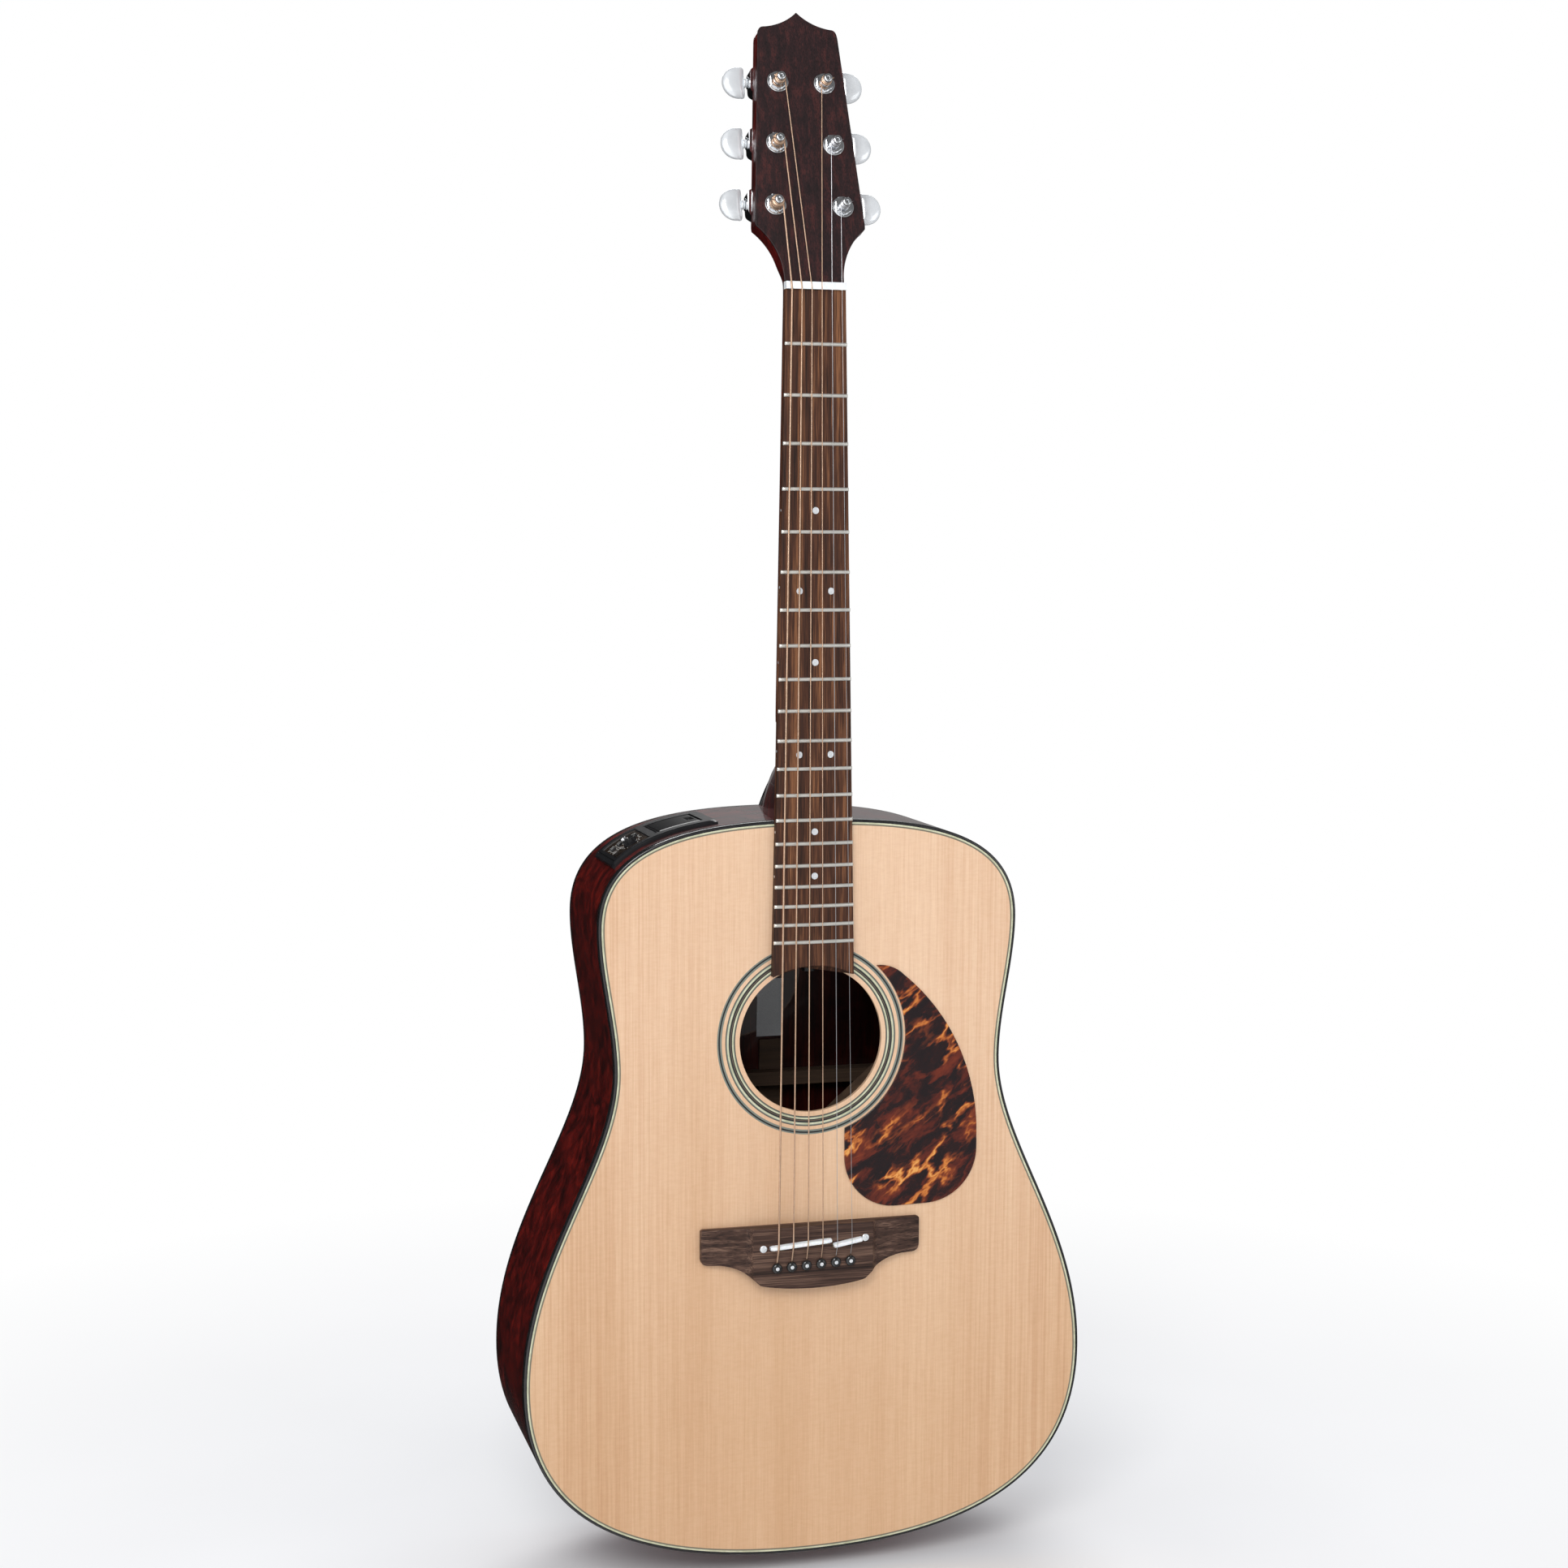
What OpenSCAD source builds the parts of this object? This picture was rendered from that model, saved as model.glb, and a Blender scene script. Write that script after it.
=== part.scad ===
// Steel-string dreadnought guitar with a side-mounted preamp.
// The frame: +Z runs up the neck, +X is the treble side, +Y is the back.
// The origin is the centre of the output jack's face plane, at the tail of the body.

/* [Body] */
// Length of the body, from the tail to the neck joint
body_len = 520; // [512:1:526]
// Width across the lower bout
lower_bout_w = 404; // [396:1:408]
// Width across the waist
waist_w = 277; // [270:1:284]
// Width across the upper bout
upper_bout_w = 299; // [292:1:304]
// Depth of the body at the tail
depth_tail = 128; // [124:1:130]
// Depth of the body at the neck joint
depth_neck = 102; // [98:1:104]
// Radius of the arch across the back
back_arch_r = 5500; // [4500:100:7000]
// Thickness of the soundboard
top_t = 3; // [2.8:0.1:3.2]
// Thickness of the back
back_t = 2.8; // [2.5:0.1:3]
// Thickness of the sides and of the binding
side_t = 2.2; // [2:0.1:2.4]
// Radius of the sound hole
hole_r = 51; // [50:0.5:52]

/* [Neck] */
// Scale length, nut to the bridge's reference line
scale_len = 644; // [640:1:648]
// Width of the neck at the nut
nut_w = 42; // [41:0.5:43]
// Width of the fingerboard at the twelfth fret
twelfth_w = 53; // [52:0.5:54]
// Number of frets
fret_count = 20; // [20]
// Angle of the neck against the soundboard, in degrees
neck_angle = 0.7; // [0.6:0.05:0.8]
// Angle of the headstock against the neck, in degrees
head_angle = 14; // [13:0.5:15]
// Length of the headstock, from the nut to its tip
head_len = 192.5; // [190:0.5:193]
// Thickness of the headstock, with its veneer
head_t = 15; // [15]

/* [Bridge] */
// Length of the bridge
bridge_len = 158; // [154:1:160]
// Height of the bridge above the soundboard
bridge_h = 9.8; // [9.6:0.1:10]
// Spread of the outer strings at the saddle
saddle_spread = 53; // [52.5:0.5:53.5]
// Spread of the outer strings at the nut
nut_spread = 35; // [34.5:0.5:35.5]

/* [Tuners] */
// Teeth on each tuner's gear; the key turns this many times for one turn of the post
gear_teeth = 14; // [14]
// Tooth module of the tuner gears
gear_module = 0.7; // [0.7]
// Distance between neighbouring posts along the headstock
post_pitch = 43.8; // [42.6:0.2:44]

/* [Preamp] */
// Width of the preamp panel, across the side
panel_w = 60; // [58:1:62]
// Height that the preamp panel stands proud of the side
panel_proud = 3; // [2.8:0.1:3.2]
// Travel of a tone slider, each way from its middle
slider_travel = 8; // [6:0.5:8]

/* [Hidden] */
$fn = 48;

// Small gaps that keep neighbouring pieces apart
glue_gap = 0.02;
run_gap = 0.05;
big = 400;

// ---- Body outline: four cubic curves from the tail to the neck joint ----
top_y = -depth_tail / 2;
inner_y = top_y + top_t;
lower_bout_z = 133;
waist_z = 349;
upper_bout_z = 448;
steps = 22;
RIM = [
    [[0, 0], [122, 0], [lower_bout_w / 2, lower_bout_z - 97], [lower_bout_w / 2, lower_bout_z]],
    [[lower_bout_w / 2, lower_bout_z], [lower_bout_w / 2, lower_bout_z + 89],
        [waist_w / 2, waist_z - 62], [waist_w / 2, waist_z]],
    [[waist_w / 2, waist_z], [waist_w / 2, waist_z + 33],
        [upper_bout_w / 2, upper_bout_z - 32], [upper_bout_w / 2, upper_bout_z]],
    [[upper_bout_w / 2, upper_bout_z], [upper_bout_w / 2, upper_bout_z + 61],
        [82, body_len], [0, body_len]]];

function bezier(p, s) = let (c = 1 - s)
    c * c * c * p[0] + 3 * c * c * s * p[1] + 3 * c * s * s * p[2] + s * s * s * p[3];
function bezier_slope(p, s) = let (c = 1 - s)
    3 * c * c * (p[1] - p[0]) + 6 * c * s * (p[2] - p[1]) + 3 * s * s * (p[3] - p[2]);
function rim_point(k, s, inset) = let (d = bezier_slope(RIM[k], s))
    bezier(RIM[k], s) + inset * [-d[1], d[0]] / norm(d);
function rim_half(inset) = [
    for (k = [0:3]) for (i = [0:steps - 1]) rim_point(k, i / steps, inset),
    [0, body_len - inset]];
function reversed(points) = [for (i = [len(points) - 1:-1:0]) points[i]];
// A closed outline from one half; first and last say how many end points lie on x = 0
function both_halves(half, first, last) = concat(half,
    [for (i = [len(half) - 1 - last:-1:first]) [-half[i][0], half[i][1]]]);
function arc(c, r, a0, a1, n) = [
    for (i = [0:n]) let (a = a0 + (a1 - a0) * i / n) c + r * [cos(a), sin(a)]];
function curve(p, n) = [for (i = [0:n]) bezier(p, i / n)];

module rim(inset) {
    polygon(both_halves(rim_half(inset), 1, 1));
}

module rim_band(outer, inner) {
    difference() {
        rim(outer);
        rim(inner);
    }
}

// A flat shape in the X-Z plane, given thickness from y0 back to y1
module slab(y0, y1) {
    translate([0, y1, 0]) rotate([90, 0, 0]) linear_extrude(y1 - y0) children();
}

// Everything in front of the arched back, at a depth below its outer face
back_tilt = atan((depth_tail - depth_neck) / body_len);
module under_back(depth) {
    translate([0, depth_tail / 2, 0]) rotate([back_tilt, 0, 0])
        translate([0, -back_arch_r, -40])
        cylinder(h = body_len + 120, r = back_arch_r - depth, $fn = 720);
}

module block(x0, x1, y0, y1, z0, z1) {
    translate([x0, y0, z0]) cube([x1 - x0, y1 - y0, z1 - z0]);
}

// A straight round bar between two points
module rod(a, b, r) {
    d = b - a;
    translate(a) rotate([0, acos(d[2] / norm(d)), atan2(d[1], d[0])])
        cylinder(h = norm(d), r = r);
}

// ---- Frames of the neck and of the headstock ----
veneer_t = 1.5;
board_t = 6;
nut_t = 5;
nut_z = scale_len * (1 - pow(2, -14 / 12));
bridge_line = body_len + nut_z - scale_len;
hole_z = bridge_line + 134;

function turn_x(p, a) = [p[0], p[1] * cos(a) - p[2] * sin(a), p[1] * sin(a) + p[2] * cos(a)];
function from_neck(p) = turn_x(p, -neck_angle) + [0, top_y, body_len];
function from_head(p) = from_neck(turn_x(p, -head_angle) + [0, -veneer_t, nut_z + nut_t]);

// The neck's frame starts at the body joint; y = 0 is the plane under the fingerboard
module in_neck() {
    translate([0, top_y, body_len]) rotate([-neck_angle, 0, 0]) children();
}

// The headstock's frame starts at the nut; y = 0 is the front of the veneer
module in_head() {
    in_neck() translate([0, -veneer_t, nut_z + nut_t]) rotate([-head_angle, 0, 0]) children();
}

function fret_z(n) = nut_z - scale_len * (1 - pow(2, -n / 12));
function board_half(z) = nut_w / 2 + (twelfth_w - nut_w) / scale_len * (nut_z - z);

// ---- Strings, from the sixth (bass) to the first ----
string_r = [0.66, 0.53, 0.42, 0.33, 0.2, 0.15];
fret_h = 1;
nut_lift = 0.4;
saddle_lift = 3.6;
pin_r = 2.5;
pin_head_r = 3.7;
string_hole_r = 0.9;
string_offset = pin_head_r + 0.95;

function spread_x(i, spread) = spread * (i / 5 - 0.5);
function pin_z(i) = bridge_line - 22.6 + 0.04 * spread_x(i, saddle_spread);
function saddle_z(i) = bridge_line + (i < 4 ? -7.6 + 0.073 * (spread_x(i, saddle_spread) + 9.5)
    : -8.2 + 0.17 * (spread_x(i, saddle_spread) - 23.6));
function at_pin(i, y) = [spread_x(i, saddle_spread), y, pin_z(i) + string_offset];
function at_saddle(i) = from_neck([spread_x(i, saddle_spread),
    -board_t - fret_h - saddle_lift - string_r[i], saddle_z(i) - body_len]);
function at_nut(i) = from_neck([spread_x(i, nut_spread),
    -board_t - fret_h - nut_lift - string_r[i], nut_z]);

// ---- Tuners: the first three are on the bass side, counted from the nut ----
post_z = [54, 54 + post_pitch, 54 + 2 * post_pitch];
post_x = [23.7, 20, 16.4];
post_r = 3;
coil_r = 3.9;
coil_y = -6.2;
// Strings run to the posts: sixth, fifth, fourth on the bass side, third, second, first
STRING_TO_POST = [[-1, 0], [-1, 1], [-1, 2], [1, 2], [1, 1], [1, 0]];
function at_post(i) = let (side = STRING_TO_POST[i][0], k = STRING_TO_POST[i][1])
    from_head([side * (post_x[k] - coil_r - string_r[i] - run_gap), coil_y, post_z[k]]);

worm_lead = PI * gear_module;
worm_r = 2.2;
worm_wave = 0.5;
worm_offset = 7.2;
worm_len = 4 * worm_lead;
gear_y = 20.5;
gear_t = 2.4;
shaft_r = 1.6;
housing_back = 27;

// ---- Preamp, on the bass side of the upper bout ----
panel_s0 = 6 / steps;
panel_s1 = 16 / steps;
panel_y0 = top_y + 15;
panel_y1 = panel_y0 + panel_w;
panel_mid_y = (panel_y0 + panel_y1) / 2;
frame_w = 5;
door_s0 = 0.513;
hinge_s = 0.523;
door_s1 = 0.69;
door_y0 = panel_y0 + 10;
door_y1 = panel_y1 - 10;
hinge_r = 1;
hinge_pin_r = 0.6;
hinge_inset = -1.7;
door_gap = 0.3;

// A band of the bass side between two insets, from s = s0 to s1 along the shoulder,
// with the same facets as the side
function shoulder(s0, s1, inset) = [
    for (s = concat([s0], [for (i = [1:steps - 1]) if (i / steps > s0 && i / steps < s1) i / steps],
        [s1])) let (p = rim_point(3, s, inset)) [-p[0], p[1]]];
module shoulder_band(s0, s1, outer, inner, y0, y1) {
    slab(y0, y1) polygon(concat(shoulder(s0, s1, outer), reversed(shoulder(s0, s1, inner))));
}

// Puts a piece on the shoulder: local +Z points out of the side, local +Y is the back
module on_shoulder(s, y, inset = 0) {
    p = rim_point(3, s, inset);
    d = bezier_slope(RIM[3], s);
    translate([-p[0], y, p[1]]) rotate([0, atan2(-d[1], -d[0]), 0]) children();
}

control_s = [0.345, 0.38, 0.45];
knob_s = 0.4125;
knob_y = panel_mid_y - 12;
button_s = 0.4125;
button_y = panel_mid_y + 14;
slider_y = panel_mid_y + 2;
slot_w = 1.6;
stem_w = 1.3;

// ==== Body ====
purfling_w = 1.1;
line_w = 1;
inlay_d = 1.2;
binding_h = 6;
// Rosette rings: [inner radius, outer radius] beyond the sound hole's edge
CREAM_RINGS = [[4.3, 5.4], [7.8, 9]];
DARK_RINGS = [[3.2, 4.3], [5.4, 7.8], [9, 10.2], [12.7, 16]];

module ring(r0, r1, y0, y1) {
    translate([0, y1, hole_z]) rotate([90, 0, 0]) difference() {
        cylinder(h = y1 - y0, r = r1, $fn = 96);
        translate([0, 0, -1]) cylinder(h = y1 - y0 + 2, r = r0, $fn = 96);
    }
}

module string_holes(y0, y1) {
    for (i = [0:5]) {
        rod([spread_x(i, saddle_spread), y0, pin_z(i)],
            [spread_x(i, saddle_spread), y1, pin_z(i)], pin_r + glue_gap);
        rod(at_pin(i, y0), at_pin(i, y1), string_hole_r);
    }
    rod([pickup_x, y0, bridge_line - 9.2], [pickup_x, y1, bridge_line - 9.2], lead_r + 0.2);
}

module soundboard() {
    color("burlywood") difference() {
        union() {
            slab(top_y, inner_y) rim(side_t + purfling_w + line_w);
            slab(top_y + inlay_d, inner_y) rim(side_t);
        }
        ring(0, hole_r, top_y - 1, inner_y + 1);
        ring(hole_r + 3.2, hole_r + 10.2, top_y - 1, top_y + inlay_d);
        ring(hole_r + 12.7, hole_r + 16, top_y - 1, top_y + inlay_d);
        string_holes(top_y - 1, inner_y + 1);
    }
}

module cream_inlays() {
    color("cornsilk") {
        slab(top_y, top_y + inlay_d) rim_band(side_t, side_t + purfling_w);
        for (r = CREAM_RINGS) ring(hole_r + r[0], hole_r + r[1], top_y, top_y + inlay_d);
    }
}

module dark_inlays() {
    color("darkslategray") {
        slab(top_y, top_y + inlay_d)
            rim_band(side_t + purfling_w, side_t + purfling_w + line_w);
        for (r = DARK_RINGS) ring(hole_r + r[0], hole_r + r[1], top_y, top_y + inlay_d);
    }
}

module top_binding() {
    color("black") slab(top_y, top_y + binding_h) rim_band(0, side_t);
}

module back_binding() {
    color("black") difference() {
        intersection() {
            slab(0, depth_tail) rim_band(0, side_t);
            under_back(0);
        }
        under_back(binding_h);
    }
}

// The side's strip on +X, from under the top binding to the back binding
module side_strip() {
    intersection() {
        slab(top_y + binding_h, depth_tail)
            polygon(concat(rim_half(0), reversed(rim_half(side_t))));
        under_back(binding_h);
    }
}

tenon_w = 24;
tenon_y0 = top_y + binding_h;
tenon_y1 = 18;
tenon_z = body_len - 22;
module tenon(gap) {
    block(-tenon_w / 2 - gap, tenon_w / 2 + gap, tenon_y0 - gap, tenon_y1 + gap,
        tenon_z - gap, body_len + 1);
}

jack_r = 6;
module jack_bore() {
    translate([0, 0, -20]) cylinder(h = 70, r = jack_r);
}

module bass_side() {
    color("brown") difference() {
        mirror([1, 0, 0]) side_strip();
        tenon(0);
        jack_bore();
        shoulder_band(panel_s0 + 0.02, panel_s1 - 0.02, -5, 8,
            panel_y0 + frame_w, panel_y1 - frame_w);
    }
}

module treble_side() {
    color("brown") difference() {
        side_strip();
        tenon(0);
        jack_bore();
    }
}

module back() {
    color("brown") difference() {
        intersection() {
            slab(0, depth_tail) rim(side_t);
            under_back(0);
        }
        under_back(back_t);
    }
}

lining_w = 5.5;
lining_h = 14;
block_w = 72;
neck_block_z = body_len - 58;
tail_block_z = 24;
module end_blocks(gap) {
    block(-block_w / 2 - gap, block_w / 2 + gap, -big, big, neck_block_z - gap, body_len + 10);
    block(-block_w / 2 - gap, block_w / 2 + gap, -big, big, -10, tail_block_z + gap);
}

// Space kept free round the preamp, inside the shoulder
module preamp_space() {
    on_case() block(-case_l / 2 - 1, case_l / 2 + 1, panel_y0 + frame_w - 1,
        panel_y1 - frame_w + 1, -case_d - 1, 40);
}

module top_lining() {
    color("tan") difference() {
        slab(inner_y, inner_y + lining_h) rim_band(side_t, side_t + lining_w);
        end_blocks(0);
        preamp_space();
    }
}

module back_lining() {
    color("tan") difference() {
        intersection() {
            slab(-20, depth_tail) rim_band(side_t, side_t + lining_w);
            under_back(back_t);
        }
        under_back(back_t + lining_h);
        end_blocks(0);
    }
}

module body_block(z0, z1) {
    intersection() {
        slab(inner_y, depth_tail) rim(side_t);
        block(-block_w / 2, block_w / 2, -big, big, z0, z1);
        under_back(back_t);
    }
}

module neck_block() {
    color("peru") difference() {
        body_block(neck_block_z, body_len);
        tenon(0);
        truss_channel(rod_nut_r + 0.5);
    }
}

module tail_block() {
    color("peru") difference() {
        body_block(0, tail_block_z);
        jack_bore();
    }
}

// Bars glued under the soundboard: [x, z of one end], [x, z of the other], width, height
brace_inset = side_t + lining_w + 0.5;
x_cross = bridge_line + 62;
x_spread = tan(49);
module top_bar(a, b, w, h) {
    d = b - a;
    translate([a[0], inner_y, a[1]]) rotate([0, -atan2(d[1], d[0]), 0])
        translate([0, 0, -w / 2]) cube([norm(d), h, w]);
}

module soundboard_braces() {
    reach = 250;
    color("wheat") difference() {
        intersection() {
            slab(inner_y, inner_y + 20) rim(brace_inset);
            union() {
                for (s = [-1, 1])
                    top_bar([-s * reach * x_spread, x_cross - reach],
                        [s * reach * x_spread, x_cross + reach], 8, 14);
                for (k = [0, 1])
                    top_bar([-58 + 36 * k, 175 - 62 * k], [104 + 18 * k, 126 - 54 * k], 7, 11);
                for (s = [-1, 1]) for (k = [0, 1])
                    top_bar([s * (118 - 34 * k), bridge_line + 18 + 56 * k - 20 * k],
                        [s * 190, bridge_line + 4 + 56 * k], 6, 8);
                top_bar([-140, hole_z + 67], [140, hole_z + 67], 12, 16);
            }
        }
        end_blocks(0.5);
        truss_channel(truss_r + 1);
        preamp_space();
    }
}

plate_t = 2.5;
module bridge_plate() {
    color("tan") difference() {
        slab(inner_y, inner_y + plate_t)
            polygon([[-40, bridge_line + 10], [40, bridge_line + 10],
                [78, bridge_line - 24], [46, bridge_line - 44],
                [-46, bridge_line - 44], [-78, bridge_line - 24]]);
        string_holes(inner_y - 1, inner_y + plate_t + 1);
        brace_shadow();
    }
}

// The braces' footprint, cut from the bridge plate so that it fits between them
module brace_shadow() {
    for (s = [-1, 1])
        top_bar([-s * 250 * x_spread, x_cross - 250], [s * 250 * x_spread, x_cross + 250], 8.2, 20);
    for (k = [0, 1])
        top_bar([-58 + 36 * k, 175 - 62 * k], [104 + 18 * k, 126 - 54 * k], 7.2, 20);
}

BACK_BARS = [85, 195, 319, 430];
back_bar_w = 10;
back_bar_h = 13;
module back_braces() {
    color("wheat") difference() {
        intersection() {
            slab(-20, depth_tail) rim(brace_inset);
            under_back(back_t);
            union() {
                for (z = BACK_BARS)
                    difference() {
                        block(-big, big, -big, big, z - back_bar_w / 2, z + back_bar_w / 2);
                        under_back(back_t + back_bar_h);
                    }
                difference() {
                    block(-8, 8, -big, big, tail_block_z + 1, neck_block_z - 1);
                    under_back(back_t + 2);
                    for (z = BACK_BARS)
                        block(-20, 20, -big, big, z - back_bar_w / 2, z + back_bar_w / 2);
                    block(-20, 20, -big, big, label_z - label_h / 2 - 2, label_z + label_h / 2 + 2);
                }
            }
        }
        preamp_space();
    }
}

label_z = 370;
label_w = 20;
label_h = 43;
module label() {
    color("gainsboro") intersection() {
        difference() {
            under_back(back_t);
            under_back(back_t + 0.3);
        }
        block(-label_w / 2, label_w / 2, 0, big, label_z - label_h / 2, label_z + label_h / 2);
    }
}

// ==== Neck ====
shaft_d0 = 17.5;
shaft_d1 = 14.5;
function chord_r(half, depth) = (half * half + depth * depth) / (2 * depth);

// The round of the neck's back: a long cone whose axis lies in front of the glue plane
module neck_cone(extra) {
    half0 = board_half(0);
    r0 = chord_r(half0, shaft_d0);
    r1 = chord_r(nut_w / 2, shaft_d1);
    a0 = r0 - shaft_d0;
    a1 = r1 - shaft_d1;
    k = extra / nut_z;
    translate([0, -a0, 0]) rotate([-atan((a0 - a1) / nut_z), 0, 0])
        cylinder(h = nut_z + extra, r1 = r0, r2 = r1 + (r1 - r0) * k, $fn = 96);
}

heel_z = 22;
heel_back = top_y + depth_neck - 4;

// Both sides of the heel lean in towards its back and towards the headstock
heel_taper = 15.7;
heel_rake = 19.8;
heel_flat = 35;
module heel_flank() {
    translate([0, top_y, body_len]) rotate([0, -heel_rake, heel_taper])
        block(-big, heel_flat, -big, big, -big, big);
}

module heel() {
    difference() {
        intersection() {
            heel_flank();
            mirror([1, 0, 0]) heel_flank();
            translate([-30, 0, 0]) rotate([90, 0, 90]) linear_extrude(60)
                polygon(concat([[top_y, body_len - 3], [heel_back, body_len - 3]],
                    curve([[heel_back, body_len + heel_z], [heel_back - 4, body_len + 29],
                        [top_y + 30, body_len + 29], [top_y + 18, body_len + 66]], 14),
                    [[top_y + 4, body_len + 66], [top_y + 4, body_len]]));
            translate([0, 0, body_len - 10]) linear_extrude(100)
                polygon(concat([[-26.6, top_y], [26.6, top_y]],
                    curve([[26.4, top_y + 12], [26, top_y + 40], [17, top_y + 72],
                        [12, heel_back + 1]], 10),
                    curve([[-12, heel_back + 1], [-17, top_y + 72], [-26, top_y + 40],
                        [-26.4, top_y + 12]], 10)));
        }
        slab(-big, big) rim(0);
    }
}

corner_w = 38.5;
corner_z = 39;
shoulder_w = 28.6;
tip_r = 39.5;
function head_side() = concat(
    arc([nut_w / 2 + 47.9, 2], 47.9, 180, 180 - 50.6, 10),
    [[corner_w + 0.1, corner_z + 2.5]],
    curve([[shoulder_w, head_len - 20], [shoulder_w - 0.3, head_len - 15],
        [shoulder_w - 1, head_len - 11.8], [24.5, head_len - 11.4]], 6),
    [for (i = [1:8]) let (a = 5 + 40 * i / 8)
        [tip_r * (sin(45) - sin(a)), head_len + tip_r * (cos(45) - cos(a))]]);

module head_plate(y0, y1) {
    slab(y0, y1) polygon(both_halves(concat([[nut_w / 2, 0]], head_side()), 0, 1));
}

// A cutter along every tuner post, seen from the front of the headstock
module post_bores(r, y0, y1) {
    for (side = [-1, 1]) for (k = [0:2])
        translate([side * post_x[k], y1, post_z[k]]) rotate([90, 0, 0])
            cylinder(h = y1 - y0, r = r);
}

// The space that the nut takes, in front of the neck's wood and below the veneer
module nut_seat() {
    in_neck() block(-big, big, -big, 0, 0, nut_z + nut_t);
}

// The round of the back runs on behind the nut, into the headstock
scarf_len = 24;
bushing_r = 4.6;
module neck() {
    color("saddlebrown") difference() {
        union() {
            in_neck() intersection() {
                neck_cone(scarf_len);
                translate([-40, 0, 0]) rotate([90, 0, 90]) linear_extrude(80)
                    polygon([[0, 0], [0, nut_z + nut_t],
                        [scarf_len * tan(head_angle + 8), nut_z + scarf_len],
                        [60, nut_z + scarf_len], [60, 60 * tan(neck_angle)]]);
            }
            in_head() head_plate(veneer_t, head_t);
            heel();
            block(-tenon_w / 2, tenon_w / 2, tenon_y0, tenon_y1, tenon_z, body_len + 2);
        }
        in_head() block(-big, big, -60, veneer_t, 0, big);
        nut_seat();
        in_head() post_bores(bushing_r, -1, 40);
        in_head() screw_bores();
        truss_channel(truss_r + run_gap);
        strap_seat();
    }
}

module heel_cap() {
    edge = curve([[10.8, 0], [8.2, 7.5], [5.2, 14], [1.2, heel_z - 0.5]], 10);
    color("black") difference() {
        slab(heel_back, heel_back + 4) translate([0, body_len])
            polygon(concat([[-10.8, -10], [10.8, -10]], edge,
                [for (i = [len(edge) - 1:-1:0]) [-edge[i][0], edge[i][1]]]));
        slab(-big, big) rim(0);
    }
}

module headstock_veneer() {
    color("maroon") difference() {
        in_head() head_plate(0, veneer_t);
        in_head() post_bores(bushing_r, -1, 40);
        nut_seat();
    }
}

// ---- Fingerboard, frets and dots ----
board_end = hole_z - body_len + hole_r + 1.5;
module board_plan(half_off) {
    z0 = board_end - 12;
    polygon([[-board_half(z0) - half_off, z0], [board_half(z0) + half_off, z0],
        [board_half(nut_z) + half_off, nut_z], [-board_half(nut_z) - half_off, nut_z]]);
}

tang_w = 0.6;
tang_h = 1.6;
module fingerboard() {
    color("sienna") difference() {
        in_neck() slab(-board_t, 6) board_plan(0);
        in_neck() block(-big, big, 0, 60, 0, big);
        slab(top_y, 0) square([2 * big, body_len * 2 + 0.2], center = true);
        translate([0, 0, hole_z]) rotate([90, 0, 0])
            cylinder(h = 2 * big, r = hole_r + 1.5, center = true, $fn = 96);
        in_neck() for (n = [1:fret_count])
            block(-big, big, -board_t - 1, -board_t + tang_h, fret_z(n) - tang_w / 2,
                fret_z(n) + tang_w / 2);
        in_neck() dots(dot_r, side_dot_r);
    }
}

fret_r = 1.4;
module frets() {
    color("silver") in_neck() intersection() {
        slab(-board_t - 2, 0) board_plan(-0.1);
        for (n = [1:fret_count]) {
            intersection() {
                translate([-40, -board_t - fret_h + fret_r, fret_z(n)]) rotate([0, 90, 0])
                    cylinder(h = 80, r = fret_r, $fn = 32);
                block(-40, 40, -board_t - 2, -board_t, fret_z(n) - 2, fret_z(n) + 2);
            }
            block(-40, 40, -board_t, -board_t + tang_h, fret_z(n) - tang_w / 2,
                fret_z(n) + tang_w / 2);
        }
    }
}

dot_r = 2.6;
dot_t = 1.5;
side_dot_r = 0.9;
MARKED = [5, 7, 9, 12, 15, 17];
DOUBLE = [7, 12];
function is_double(n) = len([for (d = DOUBLE) if (d == n) d]) > 0;
function between_frets(n) = (fret_z(n) + fret_z(n - 1)) / 2;

module dots(r, side_r) {
    for (n = MARKED) {
        pair = is_double(n) ? [-11, 11] : [0];
        for (x = pair)
            translate([x, -board_t + dot_t, between_frets(n)]) rotate([90, 0, 0])
                cylinder(h = dot_t, r = r, $fn = 32);
        for (dz = is_double(n) ? [-2.5, 2.5] : [0])
            translate([-board_half(between_frets(n)) - 0.3, -board_t / 2, between_frets(n) + dz])
                rotate([0, 90, 0]) cylinder(h = 2.3, r = side_r, $fn = 16);
    }
}

module position_dots() {
    color("white") in_neck() intersection() {
        dots(dot_r, side_dot_r);
        slab(-board_t, 0) board_plan(0);
    }
}

module nut() {
    color("ivory") difference() {
        in_neck() block(-nut_w / 2, nut_w / 2, -board_t - fret_h - 1, 0, nut_z, nut_z + nut_t);
        for (i = [0:5]) {
            run = at_nut(i) - at_saddle(i);
            rod(at_nut(i) - run / norm(run), at_nut(i), string_r[i] + run_gap);
            sphere_at(at_nut(i), string_r[i] + 2 * run_gap);
            rod(at_nut(i), at_post(i), string_r[i] + run_gap);
        }
    }
}

module sphere_at(p, r) {
    translate(p) sphere(r = r, $fn = 24);
}

// ---- Truss rod ----
truss_r = 2.6;
truss_y = 9;
rod_nut_r = 4.6;
rod_end = hole_z + hole_r - 4 - body_len;
module truss_channel(r) {
    in_neck() translate([0, truss_y, rod_end - 2]) cylinder(h = nut_z - rod_end - 18, r = r);
}

module truss_rod() {
    color("gray") in_neck() translate([0, truss_y, rod_end + 4])
        cylinder(h = nut_z - rod_end - 26, r = truss_r);
}

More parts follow.
